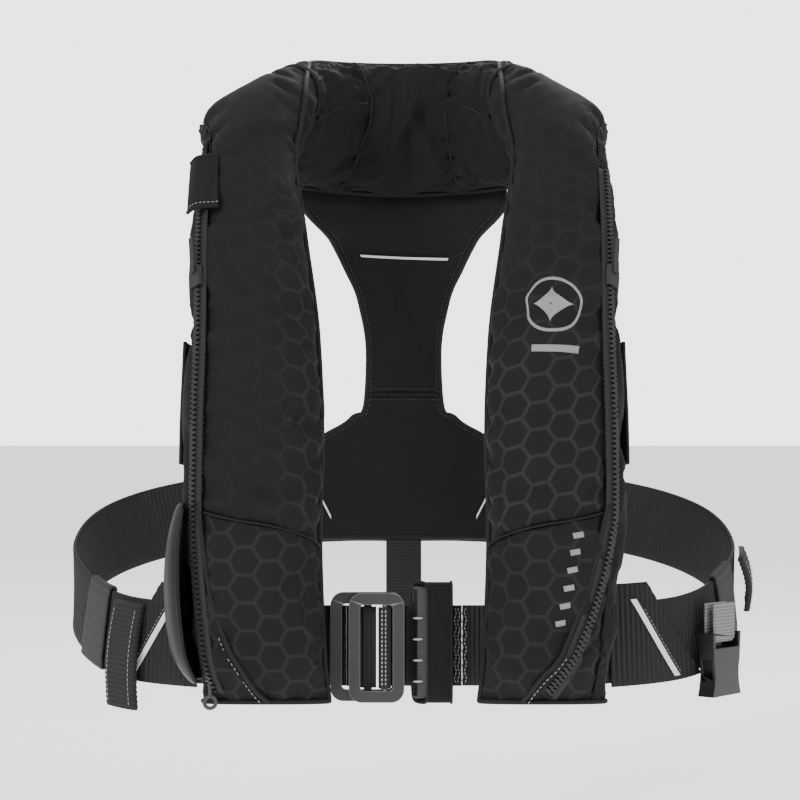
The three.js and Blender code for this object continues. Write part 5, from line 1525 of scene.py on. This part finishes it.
# %% Side tabs and garage
def skin_patch(name, side, stations, turns, lift, thickness, material, nodes=(), rows=40, columns=30,
               puff=0.0, end_lift=None):
    u = np.linspace(0, 1, rows)[:, None]
    v = np.linspace(0, 1, columns)[None, :]
    pillow = puff * (np.sin(u * math.pi) * np.sin(v * math.pi)) ** 0.5
    rise = mix(lift, end_lift or lift, smooth(v * 1.5 - 0.5)) + pillow
    station = on_side(side, mix(stations[0], stations[1], u) + 0 * v)
    patch = cloth_grid(name, on_roll(station, mix(turns[0], turns[1], v) + 0 * u, rise), thickness * MM)
    faces_point_out(patch, LOBE_INSIDE[side])
    write_attribute(patch, "print", np.zeros(rows * columns))
    return finish_piece(patch, material, ROOT, nodes)


for side in ("right", "left"):
    skin_patch(f"tab_{side}", side, (2.74, 3.98), (-72, -9), 5.4, 2.0, RIBBED_BAND,
               [f"side_tab_{side}"], puff=0.5)
    skin_patch(f"tab_reflective_{side}", side, (2.84, 3.86), (-20, -11.5), 6.0, 0.5, REFLECTIVE,
               rows=30, columns=6, puff=0.4)
    skin_patch(f"zip_underlap_{side}", side, (2.3, 5.7), (28, 46), -0.3, 0.6, LINING_CLOTH,
               rows=90, columns=14)
    edge, _ = line_on_roll(np.linspace(2.74, 3.98, 20), np.full(20, -8.6), 4.6, 120, side)
    tube(f"tab_binding_{side}", edge, 1.3, PIPING)
skin_patch("garage_flap", "right", (5.12, 5.72), (29, 66), 8.2, 1.0, COVER_CLOTH,
           ["zip_garage_right"], puff=0.4, end_lift=3.0)
hood_turns = np.linspace(29, 66, 30)
for index, station in enumerate((5.14, 5.71)):
    hood_lift = mix(8.2, 3.0, smooth(np.linspace(0, 1, 60) * 1.5 - 0.5)) + 0.1
    hood, hood_out = line_on_roll(np.full(30, station), hood_turns, hood_lift, 60)
    tube(f"garage_binding_{index}", hood, 0.7, PIPING)
    above = np.array([0, 0, 0.0 if index else 2.2 * MM])
    stitch_row(f"garage_stitches_{index}", hood + above, hood_out, LIGHT_THREAD, 2.6, (1.8, 0.4, 0.35))
print("tabs and garage made")

# %% [markdown]
# The left lobe carries a small generic printed mark, a ring round a four-pointed star with a plain bar
# below it, and the lower panel has a slanted stripe of dashes. Each is a thin transfer laid on the cloth.

# %% Printed marks
def on_panel(name, station, turn, lift):
    """Points in metres on a built lobe panel, lifted off its outer face by lift millimetres."""
    grid, low, high, turns = PANELS[name]
    rows, columns = grid.shape[:2]
    v = np.clip((turn - turns[0]) / (turns[1] - turns[0]), 0, 1) * (columns - 1)
    at_turn = np.arange(columns)
    start, end = np.interp(v, at_turn, low), np.interp(v, at_turn, high)
    u = np.clip((station - start) / (end - start), 0, 1) * (rows - 1)
    i, j = np.minimum(u.astype(int), rows - 2), np.minimum(v.astype(int), columns - 2)
    a, b = (u - i)[..., None], (v - j)[..., None]
    point = mix(mix(grid[i, j], grid[i, j + 1], b), mix(grid[i + 1, j], grid[i + 1, j + 1], b), a)
    out = unit(np.cross(grid[i, j + 1] - grid[i, j], grid[i + 1, j] - grid[i, j]))
    middle = np.array(LOBE_INSIDE["left" if name.endswith("left") else "right"])
    middle = np.stack([0 * station + middle[0], 0 * station + middle[1], point[..., 2]], -1)
    out = out * np.sign(np.sum(out * (point - middle), -1))[..., None]
    return point + out * lift * MM


def transfer(name, panel, station, turn, right_mm, up_mm, turned=0.0):
    """A thin printed shape given as a grid of offsets in millimetres from a place on a panel."""
    def skin_at(one_station, one_turn):
        return on_roll(on_side("left", np.array([one_station])), np.array([one_turn]))

    here = skin_at(station, turn)
    per_station = np.linalg.norm(skin_at(station + 0.1, turn) - here) / 0.1
    per_turn = np.linalg.norm(skin_at(station, turn + 2.0) - here) / 2
    c, s = math.cos(turned), math.sin(turned)
    across, up = right_mm * c - up_mm * s, right_mm * s + up_mm * c
    stations = station + up * MM / per_station
    turns = turn - across * MM / per_turn
    mark = cloth_grid(name, on_panel(panel, stations, turns, 0.35), 0.25 * MM)
    outward_normals(mark)
    finish_piece(mark, MARK_PRINT, ROOT)


MARK_STATION, MARK_TURN = 4.17, 93.0
around = np.linspace(0, math.tau, 121)[:, None]
band = np.linspace(16.6, 18.6, 3)[None, :]
transfer("mark_ring", "cover_upper_left", MARK_STATION, MARK_TURN, band * np.cos(around),
         band * np.sin(around))
star = np.linspace(0.06, 1, 12)[None, :] * 12.5
transfer("mark_star", "cover_upper_left", MARK_STATION, MARK_TURN, star * np.cos(around) ** 3,
         star * np.sin(around) ** 3)
share = np.linspace(-0.5, 0.5, 41)[:, None]
rise = np.linspace(-0.5, 0.5, 4)[None, :]
transfer("mark_bar", "cover_upper_left", 3.76, 90.0, share * 40 + 0 * rise, rise * 4.4 + 0 * share)
dash = np.linspace(-0.5, 0.5, 6)[:, None]
for index in range(6):
    transfer(f"mark_dash_{index}", "cover_lower_left", 1.3 + index * 0.145, 86.0 - index * 1.7,
             dash * 6 + 0 * rise, rise * 3.4 + 0 * dash, 0.2)
print("printed marks made")

# %% [markdown]
# The pull cord hangs straight down from its CAD place and ends in a loop. It is one limp cord.

# %% Pull cord
cord_low, cord_high = (np.array(c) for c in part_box("pull_cord"))
cord_x = float((cord_low[0] + cord_high[0]) / 2)
cord_y = float((cord_low[1] + cord_high[1]) / 2)
CORD_RADIUS = 1.2
LOOP_HEIGHT, RING_RADIUS = -348.0, 3.5
cord_top = float(cord_high[2])
drop = np.linspace(cord_top, (LOOP_HEIGHT + RING_RADIUS) * MM, 40)
cord_line = np.stack([0 * drop + cord_x, 0 * drop + cord_y, drop], 1)
cord = tube("pull_lanyard", cord_line, CORD_RADIUS, DARK_THREAD, "pull", 10)
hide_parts("pull_cord")
turn = np.linspace(0, math.tau, 48, endpoint=False)
ring_line = np.stack([cord_x + RING_RADIUS * MM * np.sin(turn), 0 * turn + cord_y,
                      LOOP_HEIGHT * MM + RING_RADIUS * MM * np.cos(turn)], 1)
loop = tube("pull_loop", ring_line, CORD_RADIUS, DARK_THREAD, "pull", 10, closed=True)
print("pull cord length:", round(float(drop[0] - drop[-1]) * 1000, 1), "mm")
